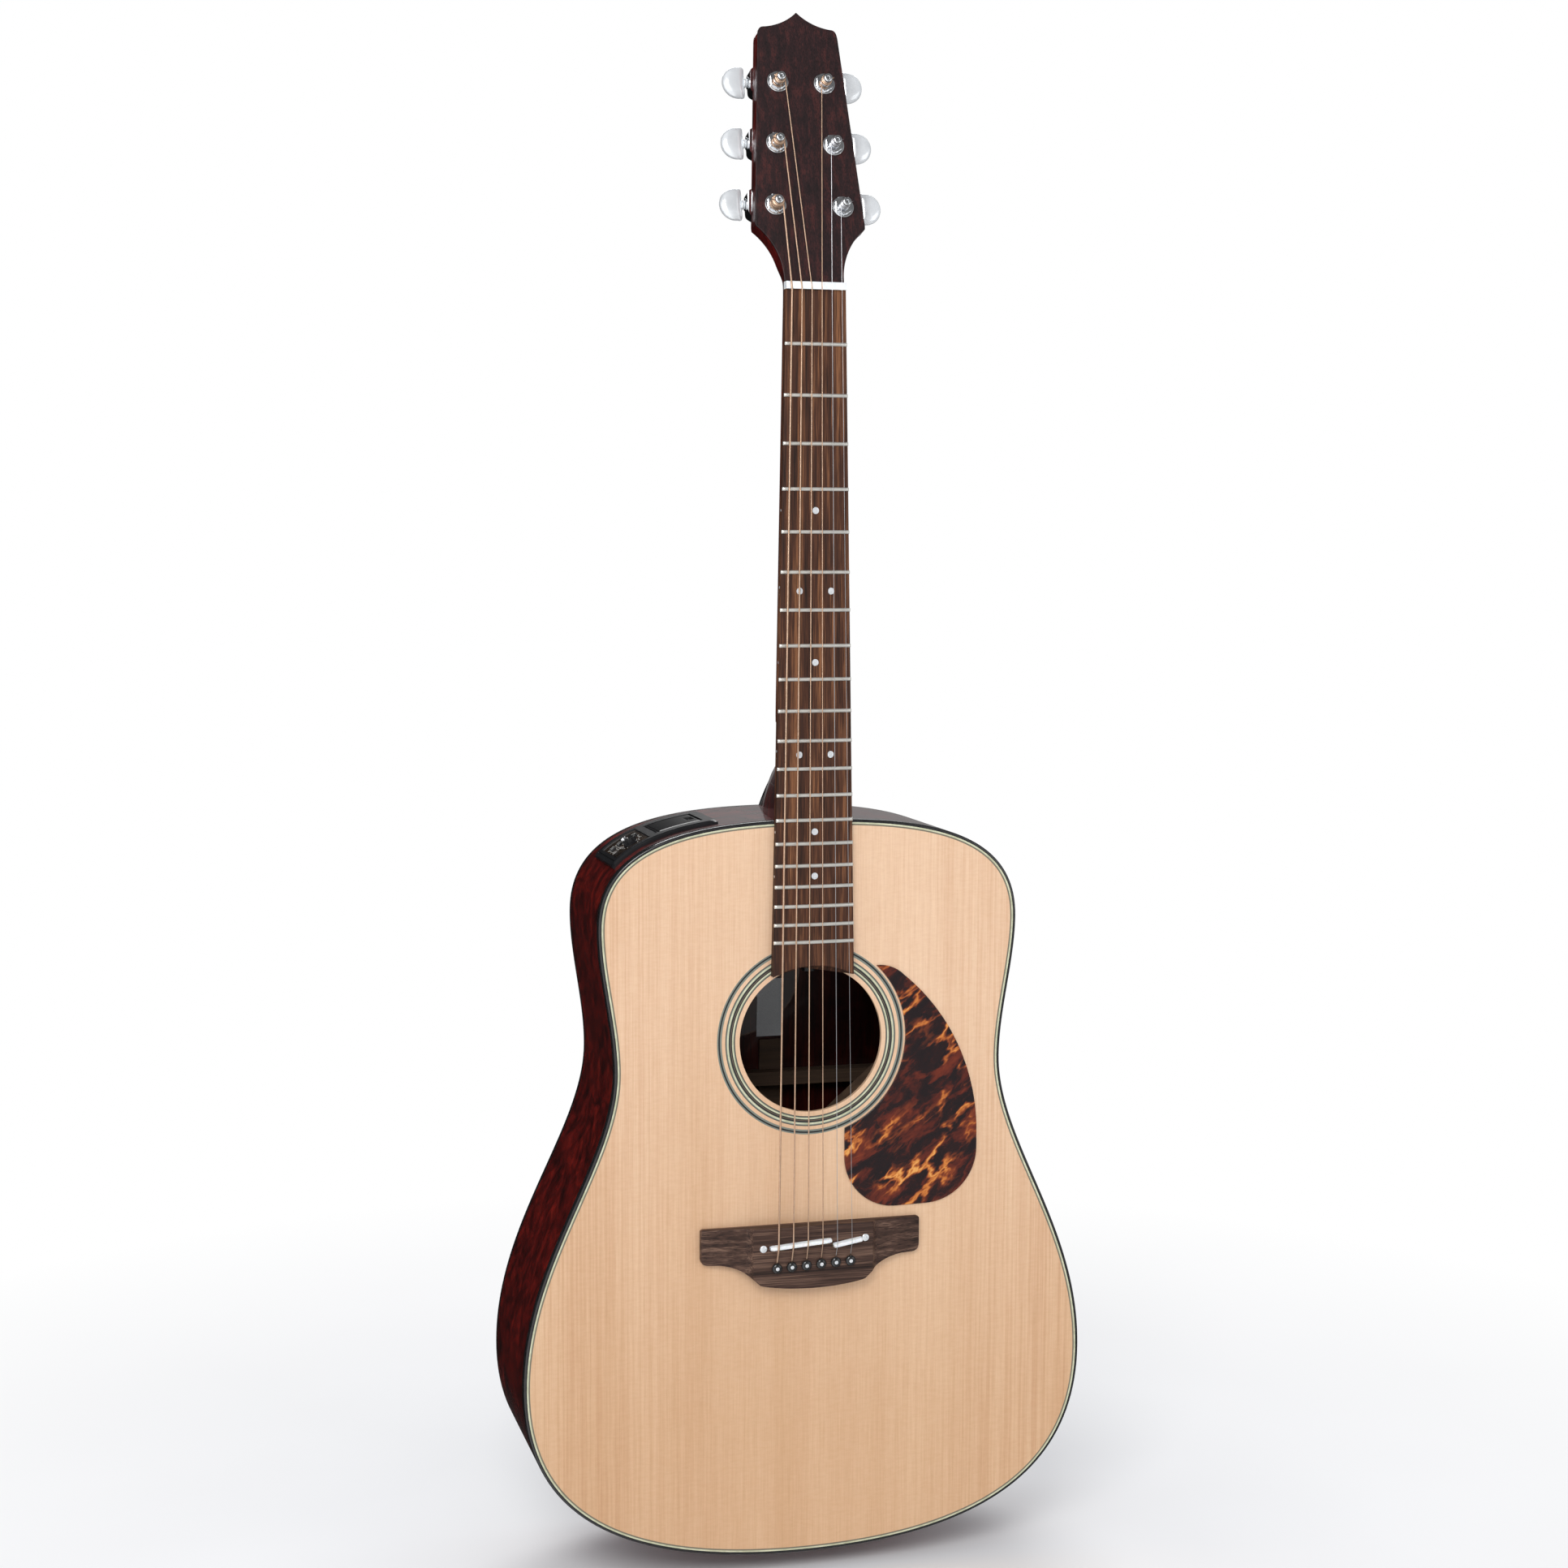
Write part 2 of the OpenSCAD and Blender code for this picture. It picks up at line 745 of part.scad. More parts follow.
module truss_rod_nut() {
    color("goldenrod") in_neck() translate([0, truss_y, rod_end]) difference() {
        cylinder(h = 14, r = rod_nut_r);
        translate([0, 0, 4 - glue_gap]) cylinder(h = 20, r = truss_r + run_gap);
        translate([0, 0, -1]) cylinder(h = 5, r = 2.6, $fn = 6);
    }
}

// ==== Bridge ====
function bridge_half() = let (w = bridge_len / 2) concat(
    curve([[-w + 5, 4.8], [-w + 2, 4.8], [-w, 3.4], [-w, 0]], 4),
    curve([[-w, -15.5], [-w, -18.8], [-w + 2, -20.3], [-w + 5, -20.5]], 4),
    curve([[-66, -20.8], [-52, -22.5], [-46, -28], [-38, -35.6]], 8),
    curve([[-36, -36.3], [-26, -38.6], [-13, -39.8], [0, -39.8]], 6));

module bridge_plan() {
    translate([0, bridge_line]) polygon(both_halves(bridge_half(), 0, 1));
}

saddle_t = 3;
bass_saddle = [-9.6, -7.6, 44, 4.2];
treble_saddle = [24.3, -8.2, 21, 9.7];
module saddle_bar(s, grow, y0, y1) {
    translate([s[0], 0, bridge_line + s[1]]) rotate([0, -s[3], 0])
        block(-s[2] / 2 - grow, s[2] / 2 + grow, y0, y1, -saddle_t / 2 - grow, saddle_t / 2 + grow);
}

bridge_y = top_y - bridge_h;
slot_d = 6;
pickup_t = 1;
module bridge() {
    color("dimgray") difference() {
        intersection() {
            slab(bridge_y, top_y) bridge_plan();
            translate([0, 0, bridge_line - 60]) linear_extrude(100)
                polygon([[-bridge_len / 2 - 1, top_y], [-bridge_len / 2 - 1, top_y - 3.6],
                    [-48, top_y - 6.2], [-43, bridge_y], [43, bridge_y], [48, top_y - 6.2],
                    [bridge_len / 2 + 1, top_y - 3.6], [bridge_len / 2 + 1, top_y]]);
        }
        string_holes(bridge_y - 1, top_y + 1);
        for (s = [bass_saddle, treble_saddle])
            saddle_bar(s, 0.05, bridge_y - 1, bridge_y + slot_d);
        translate([0, 0, bridge_line]) big_dots(bridge_y - 1, bridge_y + 1.5);
    }
}

module big_dots(y0, y1) {
    for (p = [[-36, -9.6], [37.6, -6.2]])
        translate([p[0], y1, p[1]]) rotate([90, 0, 0]) cylinder(h = y1 - y0, r = 2.5, $fn = 32);
}

// A saddle's end profile: its crown slopes away behind the strings' bearing line
module saddles() {
    crown = from_neck([0, -board_t - fret_h - saddle_lift + run_gap, -290])[1];
    foot = bridge_y + slot_d - pickup_t;
    h = saddle_t / 2;
    color("ivory") for (s = [bass_saddle, treble_saddle])
        translate([0, 0, bridge_line + s[1]]) translate([s[0], 0, 0]) rotate([0, -s[3], 0])
            translate([-s[2] / 2, 0, 0]) rotate([90, 0, 90]) linear_extrude(s[2])
            polygon([[foot, -h], [crown + 1.4, -h], [crown + 0.25, -0.35], [crown, 0.2],
                [crown + 0.3, 0.9], [crown + 1, h], [foot, h]]);
}

module saddle_pickup() {
    color("silver") for (s = [bass_saddle, treble_saddle])
        saddle_bar(s, -0.2, bridge_y + slot_d - pickup_t + glue_gap, bridge_y + slot_d);
}

pin_len = 21;
pin_head_h = 2.6;
pin_dot_r = 1.3;
module bridge_pins() {
    color("black") for (i = [0:5])
        translate([spread_x(i, saddle_spread), bridge_y, pin_z(i)]) rotate([-90, 0, 0]) {
            difference() {
                rotate_extrude() polygon(concat([[0, -pin_head_h]],
                    [[pin_dot_r, -pin_head_h], [2.6, -pin_head_h + 0.4], [pin_head_r, -1.1],
                        [pin_head_r, -glue_gap], [pin_r, -glue_gap], [pin_r, 8], [2.2, pin_len - 3],
                        [1.2, pin_len], [0, pin_len]]));
                translate([0, 0, -pin_head_h - 1]) cylinder(h = 1.6, r = pin_dot_r, $fn = 24);
            }
        }
}

module white_dots() {
    color("white") {
        translate([0, 0, bridge_line]) big_dots(bridge_y, bridge_y + 1.5);
        for (i = [0:5])
            translate([spread_x(i, saddle_spread), bridge_y - pin_head_h + 0.6, pin_z(i)])
                rotate([90, 0, 0]) cylinder(h = 0.6, r = pin_dot_r, $fn = 24);
    }
}

// ---- Pickguard: a teardrop that follows the rosette's edge ----
guard_t = 1.2;
module pickguard() {
    guard_r = hole_r + 17.3;
    color("maroon") slab(top_y - guard_t, top_y) translate([0, bridge_line])
        polygon(concat(
            arc([0, hole_z - bridge_line], guard_r, 47, -69, 24),
            arc([62, 50], 37.5, 180, 268, 10),
            arc([84, 51], 38, 272, 358, 10),
            arc([-27, 61], 149, 2, 51, 14),
            arc([60.5, 173.5], 8, 62, 118, 4)));
}

// ==== Strings ====
ball_r = 1.7;
module string_run(i) {
    r = string_r[i];
    low = at_pin(i, inner_y + plate_t + 3);
    high = at_pin(i, bridge_y - 0.4);
    rod(low, high, r);
    sphere_at(high, r + 0.06);
    rod(high, at_saddle(i), r);
    sphere_at(at_saddle(i), r + 0.04);
    rod(at_saddle(i), at_nut(i), r);
    sphere_at(at_nut(i), r + 0.04);
    rod(at_nut(i), at_post(i), r);
    translate(low) rotate([0, 90, 0]) cylinder(h = 3.6, r = ball_r, center = true, $fn = 24);
}

module wound_strings() {
    color("peru") for (i = [0:3]) string_run(i);
}

module plain_strings() {
    color("silver") for (i = [4, 5]) string_run(i);
}

// ==== Tuners ====
// The frame of one tuner: local +X points away from the neck's centre line
module at_tuner(side, k) {
    in_head() translate([side * post_x[k], 0, post_z[k]]) mirror([side < 0 ? 1 : 0, 0, 0]) children();
}

module turned(y, h, r) {
    translate([0, y + h, 0]) rotate([90, 0, 0]) cylinder(h = h, r = r);
}

module housing() {
    difference() {
        union() {
            block(-8, 15.6, head_t, housing_back, -2.5, 17);
            turned(head_t, housing_back - head_t, 8.5);
        }
        turned(head_t - 1, gear_y + 3 - head_t, 6.2);
        translate([-worm_len / 2 - 1, gear_y, worm_offset]) rotate([0, 90, 0])
            cylinder(h = worm_len + 2, r = 3.2);
        block(-worm_len / 2 - 1, worm_len / 2 + 1, head_t - 1, gear_y, worm_offset - 3.2,
            worm_offset + 3.2);
        turned(20, 6, 2 + run_gap);
        translate([-7, gear_y, worm_offset]) rotate([0, 90, 0])
            cylinder(h = 40, r = shaft_r + run_gap);
        turned_screw(0);
    }
}

// A housing's wood screw, at its corner
screw_x = -5;
screw_z = 14;
module turned_screw(gap) {
    translate([screw_x, 0, screw_z]) {
        turned(head_t - 8, housing_back - head_t + 8 - 1.4, 1.3 + gap);
        turned(housing_back - 1.4, 2.4, 2.4 + gap);
    }
}

module screw_bores() {
    for (side = [-1, 1]) for (k = [0:2])
        translate([side * post_x[k] + side * screw_x, head_t - 8, post_z[k] + screw_z])
            rotate([-90, 0, 0]) cylinder(h = 20, r = 1.3);
}

module tuner_housings() {
    color("silver") for (side = [-1, 1]) for (k = [0:2]) at_tuner(side, k) housing();
}

module tuner_screws() {
    color("silver") for (side = [-1, 1]) for (k = [0:2]) at_tuner(side, k) difference() {
        turned_screw(0);
        block(screw_x - 0.3, screw_x + 0.3, housing_back + 0.3, housing_back + 3,
            screw_z - 4, screw_z + 4);
    }
}

module tuner_bushings() {
    color("silver") for (side = [-1, 1]) for (k = [0:2]) at_tuner(side, k) difference() {
        union() {
            turned(0, head_t - glue_gap, bushing_r);
            turned(-1.1, 1.1, 7.4);
            rotate([90, 0, 0]) translate([0, 0, 1.1]) cylinder(h = 1.9, r = 6.1, $fn = 6);
        }
        turned(-4, head_t + 8, post_r + run_gap);
    }
}

// A gear tooth's flanks reach from the root circle to the tip circle
gear_root = 4.3;
gear_tip = 5.25;
module gear() {
    pitch = 360 / gear_teeth;
    translate([0, gear_y + gear_t / 2, 0]) rotate([90, 0, 0]) linear_extrude(gear_t)
        polygon([for (i = [0:gear_teeth - 1]) for (p = [[-8.3, gear_root], [-2.2, gear_tip],
                [2.2, gear_tip], [8.3, gear_root]])
            let (a = 90 + (i + 0.5) * pitch + p[0]) p[1] * [cos(a), sin(a)]]);
}

module post(i) {
    coil_h = 2.4 + 3 * string_r[i];
    difference() {
        union() {
            turned(-11, 11 + gear_y, post_r);
            turned(gear_y, 4.5, 2);
            gear();
            turned(coil_y - coil_h / 2, coil_h, coil_r);
        }
        translate([0, -9.6, -5]) cylinder(h = 10, r = 0.8, $fn = 24);
    }
}

// Half-moon button: a disc with its inner side cut flat
button_r = 11.3;
button_flat = 17.9;
button_t = 7;
module key() {
    translate([-worm_len / 2, gear_y, worm_offset]) rotate([0, 90, 0])
        linear_extrude(worm_len, twist = -4 * 360, slices = 36, segments = 12, $fn = 12)
        translate([worm_wave, 0]) circle(r = worm_r, $fn = 12);
    translate([-7 + 0.5, gear_y, worm_offset]) rotate([0, 90, 0])
        cylinder(h = button_flat + 9, r = shaft_r);
    translate([button_flat - 1.6, gear_y, worm_offset]) rotate([0, 90, 0])
        cylinder(h = 2, r = 3.2);
    translate([0, gear_y, worm_offset]) intersection() {
        translate([button_flat + 4.3, button_t / 2, 0]) rotate([90, 0, 0])
            cylinder(h = button_t, r = button_r, $fn = 64);
        block(button_flat, 60, -20, 20, -20, 20);
    }
}

module tuner_key(i) {
    color("whitesmoke") at_tuner(STRING_TO_POST[i][0], STRING_TO_POST[i][1]) key();
}

module tuner_post(i) {
    color("gainsboro") at_tuner(STRING_TO_POST[i][0], STRING_TO_POST[i][1]) post(i);
}

// ==== Preamp ====
case_l = 78;
case_d = 24;
// The case's frame: local +X along the shoulder's chord, local +Z out of the side
module on_case() {
    p0 = rim_point(3, panel_s0, side_t);
    p1 = rim_point(3, panel_s1, side_t);
    m = (p0 + p1) / 2;
    translate([-m[0], 0, m[1]]) rotate([0, atan2(-(p1[1] - p0[1]), p0[0] - p1[0]), 0]) children();
}

plate_depth = 2;
module preamp_panel() {
    color("black") difference() {
        union() {
            shoulder_band(panel_s0, panel_s1, -panel_proud, 0, panel_y0, panel_y1);
            shoulder_band(panel_s0 + 0.022, panel_s1 - 0.022, -1, side_t,
                panel_y0 + frame_w + 0.3, panel_y1 - frame_w - 0.3);
        }
        shoulder_band(panel_s0 + 0.045, door_s0 - 0.03, -10, -plate_depth,
            panel_y0 + frame_w + 1, panel_y1 - frame_w - 1);
        shoulder_band(door_s0, door_s1, -10, 10, door_y0, door_y1);
        hinge_at() cylinder(h = 4, r = hinge_pin_r + run_gap, center = true);
        hinge_at() translate([0, 0, door_y1 - door_y0])
            cylinder(h = 4, r = hinge_pin_r + run_gap, center = true);
        for (s = control_s) on_shoulder(s, slider_y)
            block(-slot_w / 2, slot_w / 2, -slider_travel - 1.2, slider_travel + 1.2, -10, 10);
        on_shoulder(knob_s, knob_y) cylinder(h = 30, r = 1.5 + run_gap, center = true);
        on_shoulder(button_s, button_y) cylinder(h = 30, r = 2.2 + run_gap, center = true);
    }
}

// The hinge's axis, from the front end of the door; bore_turn keeps its facets off the slot's edges
bore_turn = 37;
module hinge_at() {
    on_shoulder(hinge_s, door_y0, hinge_inset) rotate([-90, 0, 0]) rotate([0, 0, bore_turn])
        children();
}

module battery_door() {
    axis = rim_point(3, hinge_s, hinge_inset);
    color("black") {
        slab(door_y0 + door_gap, door_y1 - door_gap) {
            polygon(concat(shoulder(hinge_s, door_s1 - 0.004, -panel_proud + 0.1),
                reversed(shoulder(hinge_s, door_s1 - 0.004, -0.6))));
            translate([-axis[0], axis[1]]) circle(r = hinge_r);
        }
        for (y = [door_y0 - 1.2, door_y1 - door_gap])
            translate([-axis[0], y, axis[1]]) rotate([-90, 0, 0])
                cylinder(h = door_gap + 1.2, r = hinge_pin_r);
    }
}

module preamp_case() {
    color("dimgray") difference() {
        intersection() {
            on_case() block(-case_l / 2, case_l / 2, panel_y0 + frame_w + 0.5,
                panel_y1 - frame_w - 0.5, -case_d, 40);
            slab(-big, big) rim(side_t + glue_gap);
        }
        on_case() block(-case_l / 2 + 2, case_l / 2 - 2, panel_y0 + frame_w + 2.5,
            panel_y1 - frame_w - 2.5, -case_d + 2, 41);
    }
}

battery_l = 48.5;
battery_w = 26.4;
battery_t = 17.5;
module battery() {
    color("goldenrod") on_case() block(case_l / 2 - 3.5 - battery_l, case_l / 2 - 3.5,
        panel_mid_y - battery_w / 2, panel_mid_y + battery_w / 2,
        -case_d + 2.2, -case_d + 2.2 + battery_t);
}

module slider(s) {
    color("silver") on_shoulder(s, slider_y, -plate_depth) {
        block(-2, 2, -1.8, 1.8, 0.1, 2.4);
        block(-stem_w / 2, stem_w / 2, -1.2, 1.2, -5.5, 1);
    }
}

module volume_knob() {
    color("dimgray") on_shoulder(knob_s, knob_y, -plate_depth) {
        translate([0, 0, 0.1]) cylinder(h = 4.4, r = 5);
        translate([0, 0, -5.5]) cylinder(h = 6, r = 1.5);
        block(-0.5, 0.5, 2, 5.3, 1, 4.4);
    }
}

module tuner_button() {
    color("silver") on_shoulder(button_s, button_y, -plate_depth)
        translate([0, 0, -5.5]) cylinder(h = 6.9, r = 2.2);
}

// ---- Wiring inside the body ----
lead_r = 1.1;
pickup_x = -29.5;
module wiring() {
    case_end = [-102, -8, 468];
    color("black") {
        rod([pickup_x, bridge_y + slot_d + 0.5, bridge_line - 9.2],
            [pickup_x, -38, bridge_line - 9.2], lead_r);
        sphere_at([pickup_x, -38, bridge_line - 9.2], lead_r + 0.1);
        rod([pickup_x, -38, bridge_line - 9.2], case_end, lead_r);
        rod([0, 0, jack_in + 8], [-40, -20, bridge_line], lead_r);
        sphere_at([-40, -20, bridge_line], lead_r + 0.1);
        rod([-40, -20, bridge_line], case_end + [6, 12, 0], lead_r);
    }
}

// ==== Output jack and strap button ====
plug_bore_r = 3.25;
jack_in = 38;
module output_jack() {
    barrel_r = jack_r - glue_gap;
    color("silver") rotate_extrude() polygon([[plug_bore_r, -12], [7.5, -12], [7.5, -8.6],
        [5.4, -7.4], [5.4, -4], [8.6, -1.5], [8.6, 0], [barrel_r, 0], [barrel_r, tail_block_z],
        [8.5, tail_block_z], [8.5, tail_block_z + 3], [barrel_r, tail_block_z + 3],
        [barrel_r, jack_in], [plug_bore_r, jack_in]]);
}

// The strap button's frame: on the treble side of the heel, local +Z pointing out of it
strap_r = 6.5;
module at_strap() {
    translate([14.2, 6, body_len + 12]) rotate([0, -heel_rake, heel_taper]) rotate([0, 90, 0])
        children();
}

module strap_seat() {
    at_strap() {
        cylinder(h = 12, r = strap_r + 0.2);
        translate([0, 0, -12]) cylinder(h = 14, r = 1.6);
    }
}

module strap_button() {
    color("silver") at_strap() {
        rotate_extrude() polygon([[1.6, 0], [strap_r, 0], [strap_r, 1.2], [4, 3], [4, 7.5],
            [6.8, 9.5], [6.8, 11], [1.6, 11]]);
        translate([0, 0, -12]) cylinder(h = 23.6, r = 1.6);
    }
}

soundboard();
cream_inlays();
dark_inlays();
top_binding();
bass_side();
treble_side();
back();
back_binding();
top_lining();
back_lining();
neck_block();
tail_block();
soundboard_braces();
bridge_plate();
back_braces();
label();
neck();
heel_cap();
headstock_veneer();
fingerboard();
frets();
position_dots();
nut();
truss_rod();
truss_rod_nut();
bridge();
saddles();
white_dots();
bridge_pins();
pickguard();
wound_strings();
plain_strings();
tuner_housings();
tuner_bushings();
tuner_screws();
tuner_key(5);  // tuner_key_1
tuner_key(4);  // tuner_key_2
tuner_key(3);  // tuner_key_3
tuner_key(2);  // tuner_key_4
tuner_key(1);  // tuner_key_5
tuner_key(0);  // tuner_key_6
tuner_post(5);  // tuner_post_1
tuner_post(4);  // tuner_post_2
tuner_post(3);  // tuner_post_3
tuner_post(2);  // tuner_post_4
tuner_post(1);  // tuner_post_5
tuner_post(0);  // tuner_post_6
preamp_panel();
preamp_case();
battery_door();
battery();
volume_knob();
slider(control_s[0]);  // bass_slider
slider(control_s[1]);  // middle_slider
slider(control_s[2]);  // treble_slider
tuner_button();
saddle_pickup();
wiring();
output_jack();
strap_button();
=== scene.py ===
"""Looks of a steel-string dreadnought guitar with a side-mounted preamp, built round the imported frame.

Lengths in the functions below are millimetres in the object's own frame: +Z up the neck,
+X to the treble side, +Y to the back. make() turns them into metres.
"""
import math

import bmesh
import bpy
from mathutils import Matrix, Vector
from mathutils.geometry import tessellate_polygon


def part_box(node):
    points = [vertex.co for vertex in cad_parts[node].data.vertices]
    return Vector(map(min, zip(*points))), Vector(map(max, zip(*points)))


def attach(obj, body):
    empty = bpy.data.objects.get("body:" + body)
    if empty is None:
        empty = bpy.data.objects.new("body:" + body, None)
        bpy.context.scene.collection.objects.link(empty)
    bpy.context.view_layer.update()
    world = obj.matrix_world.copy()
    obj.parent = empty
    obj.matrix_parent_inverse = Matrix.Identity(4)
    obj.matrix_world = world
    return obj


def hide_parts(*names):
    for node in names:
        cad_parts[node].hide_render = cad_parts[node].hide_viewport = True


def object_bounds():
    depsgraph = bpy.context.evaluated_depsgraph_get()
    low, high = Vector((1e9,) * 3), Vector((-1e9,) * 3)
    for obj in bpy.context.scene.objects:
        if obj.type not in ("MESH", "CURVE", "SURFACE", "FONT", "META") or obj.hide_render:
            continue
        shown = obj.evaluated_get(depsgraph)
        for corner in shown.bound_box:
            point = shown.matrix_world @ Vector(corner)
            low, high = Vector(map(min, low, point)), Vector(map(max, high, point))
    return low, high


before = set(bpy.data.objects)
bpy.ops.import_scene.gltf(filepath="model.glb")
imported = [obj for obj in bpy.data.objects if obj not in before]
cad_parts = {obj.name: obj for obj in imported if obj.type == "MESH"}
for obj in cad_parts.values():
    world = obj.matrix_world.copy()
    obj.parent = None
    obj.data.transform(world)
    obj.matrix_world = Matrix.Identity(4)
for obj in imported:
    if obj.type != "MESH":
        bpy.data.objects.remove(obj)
cad_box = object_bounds()
MM = 0.001
TAU = 2 * math.pi


def box_mm(node):
    """A CAD node's lowest and highest corners in millimetres."""
    low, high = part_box(node)
    return low / MM, high / MM


def spin(degrees, axis):
    return Matrix.Rotation(math.radians(degrees), 4, axis)


def move(x, y, z):
    return Matrix.Translation((x, y, z))


# ---- Driving sizes ----
TOP_Y = box_mm("soundboard")[0].y
BODY_LEN = box_mm("top_binding")[1].z
HALF_LOWER = box_mm("top_binding")[1].x
HALF_WAIST = 138.5
HALF_UPPER = 149.5
LOWER_Z = 133
WAIST_Z = 349
UPPER_Z = 448
DEPTH_TAIL = 128
DEPTH_NECK = 102
BACK_ARCH_R = 5500
SIDE_T = 2.2
TOP_T = 3.0
BACK_T = 2.8
BINDING_H = 6.0
CREAM_W = 1.1
DARK_W = 1.0
HOLE_R = 51.0
SCALE = 644.0
NUT_T = 5.0
NUT_HALF = 21.0
TWELFTH_HALF = 26.5
BOARD_T = 6.0
BOARD_R = 305.0
FRET_H = 1.0
FRETS = 20
VENEER_T = 1.5
HEAD_T = 15.0
HEAD_LEN = 192.5
NECK_TILT = 0.7
HEAD_TILT = 14
NUT_Z = SCALE * (1 - 2 ** (-14 / 12))
BRIDGE_Z = BODY_LEN + NUT_Z - SCALE
HOLE_Z = BRIDGE_Z + 134
BRIDGE_H = 9.8
BRIDGE_Y = TOP_Y - BRIDGE_H
GUARD_T = 1.2

# Frames at the neck joint and at the nut: local +Z runs up the neck and the headstock
NECK = move(0, TOP_Y, BODY_LEN) @ spin(-NECK_TILT, "X")
HEAD = NECK @ move(0, -VENEER_T, NUT_Z + NUT_T) @ spin(-HEAD_TILT, "X")

# The body's outline: four cubic curves from the tail to the neck joint, on the +X side
LOWER = (HALF_LOWER, LOWER_Z)
WAIST = (HALF_WAIST, WAIST_Z)
UPPER = (HALF_UPPER, UPPER_Z)
RIM = [
    [(0, 0), (122, 0), (HALF_LOWER, LOWER_Z - 97), LOWER],
    [LOWER, (HALF_LOWER, LOWER_Z + 89), (HALF_WAIST, WAIST_Z - 62), WAIST],
    [WAIST, (HALF_WAIST, WAIST_Z + 33), (HALF_UPPER, UPPER_Z - 32), UPPER],
    [UPPER, (HALF_UPPER, UPPER_Z + 61), (82, BODY_LEN), (0, BODY_LEN)],
]
RIM_STEPS = 44


def lerp(a, b, t):
    return a + (b - a) * t


def smooth(t):
    t = min(max(t, 0.0), 1.0)
    return t * t * (3 - 2 * t)


def bezier(p, s):
    c = 1 - s
    weights = (c * c * c, 3 * c * c * s, 3 * c * s * s, s * s * s)
    return Vector([sum(w * q[i] for w, q in zip(weights, p)) for i in range(len(p[0]))])


def bezier_slope(p, s):
    c = 1 - s
    weights = (3 * c * c, 6 * c * s, 3 * s * s)
    return Vector([sum(w * (p[k + 1][i] - p[k][i]) for k, w in enumerate(weights))
                   for i in range(len(p[0]))])


def curve(p, steps):
    """Even stations along a cubic curve."""
    return [tuple(bezier(p, i / steps)) for i in range(steps + 1)]


def arc(cx, cy, r, a0, a1, n):
    """Points of an arc, angles in degrees."""
    angles = [math.radians(lerp(a0, a1, i / n)) for i in range(n + 1)]
    return [(cx + r * math.cos(a), cy + r * math.sin(a)) for a in angles]


def rim_point(k, s, inset=0.0):
    d = bezier_slope(RIM[k], s).normalized()
    p = bezier(RIM[k], s)
    return p.x - inset * d.y, p.y + inset * d.x


def rim_half():
    """Stations (curve, s) from the tail to the neck joint."""
    return [(k, i / RIM_STEPS) for k in range(4) for i in range(RIM_STEPS)] + [(3, 1.0)]


def rim_loop():
    """Stations (curve, s, side) round the whole body."""
    half = rim_half()
    return [(k, s, 1) for k, s in half] + [(k, s, -1) for k, s in reversed(half[1:-1])]


def back_y(x, z, depth):
    """Where the arched back lies, a depth below its outer face."""
    tilt = math.atan((DEPTH_TAIL - DEPTH_NECK) / BODY_LEN)
    y = math.sqrt((BACK_ARCH_R - depth) ** 2 - x * x) - BACK_ARCH_R
    along = (z - y * math.sin(tilt)) / math.cos(tilt)
    return DEPTH_TAIL / 2 + y * math.cos(tilt) - along * math.sin(tilt)


def top_at(x, z, depth):
    return TOP_Y + depth


# ---- Mesh helpers ----
WELD_GAP = 2e-7


def make(name, shape, look, body="root", node=None, bevel=0.0, segments=3, angle=35):
    """A finished piece from points in millimetres: riding on its body and standing for a CAD node."""
    points, faces = shape
    mesh = bpy.data.meshes.new(name)
    mesh.from_pydata([tuple(Vector(p) * MM) for p in points], [], faces)
    bm = bmesh.new()
    bm.from_mesh(mesh)
    bmesh.ops.remove_doubles(bm, verts=bm.verts, dist=WELD_GAP)
    bmesh.ops.dissolve_degenerate(bm, edges=bm.edges, dist=WELD_GAP / 2)
    bmesh.ops.recalc_face_normals(bm, faces=bm.faces)
    bm.to_mesh(mesh)
    bm.free()
    mesh.shade_smooth()
    mesh.set_sharp_from_angle(angle=math.radians(angle))
    mesh.materials.append(M[look])
    piece = bpy.data.objects.new(name, mesh)
    bpy.context.scene.collection.objects.link(piece)
    if bevel:
        soften(piece, bevel, segments, angle)
    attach(piece, body)
    if node:
        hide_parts(node)


def soften(piece, width, segments=3, angle=35):
    """Rounds a piece's edges."""
    edge = piece.modifiers.new("edges", "BEVEL")
    edge.width = width * MM
    edge.segments = segments
    edge.limit_method = "ANGLE"
    edge.angle_limit = math.radians(angle)
    edge.harden_normals = True


def join(*shapes):
    points, faces = [], []
    for p, f in shapes:
        faces += [tuple(i + len(points) for i in face) for face in f]
        points += p
    return points, faces


def placed(shape, place):
    return [place @ Vector(p) for p in shape[0]], shape[1]


def loft(rings, closed=False):
    """A skin over rings of points, each with the same count; open ends are capped."""
    n = len(rings[0])
    last = len(rings)
    faces = []
    for i in range(last if closed else last - 1):
        a, b = i * n, (i + 1) % last * n
        faces += [(a + j, a + (j + 1) % n, b + (j + 1) % n, b + j) for j in range(n)]
    if not closed:
        faces.append(tuple(range(n)))
        faces.append(tuple(reversed(range((last - 1) * n, last * n))))
    return [p for ring in rings for p in ring], faces


def turned(profile, place=Matrix(), sides=40, closed=False):
    """A lathe shape: profile points are (radius, height along local +Z)."""
    rings = []
    for r, h in profile:
        rings.append([place @ Vector((r * math.cos(TAU * i / sides), r * math.sin(TAU * i / sides), h))
                      for i in range(sides)])
    return loft(rings, closed=closed)


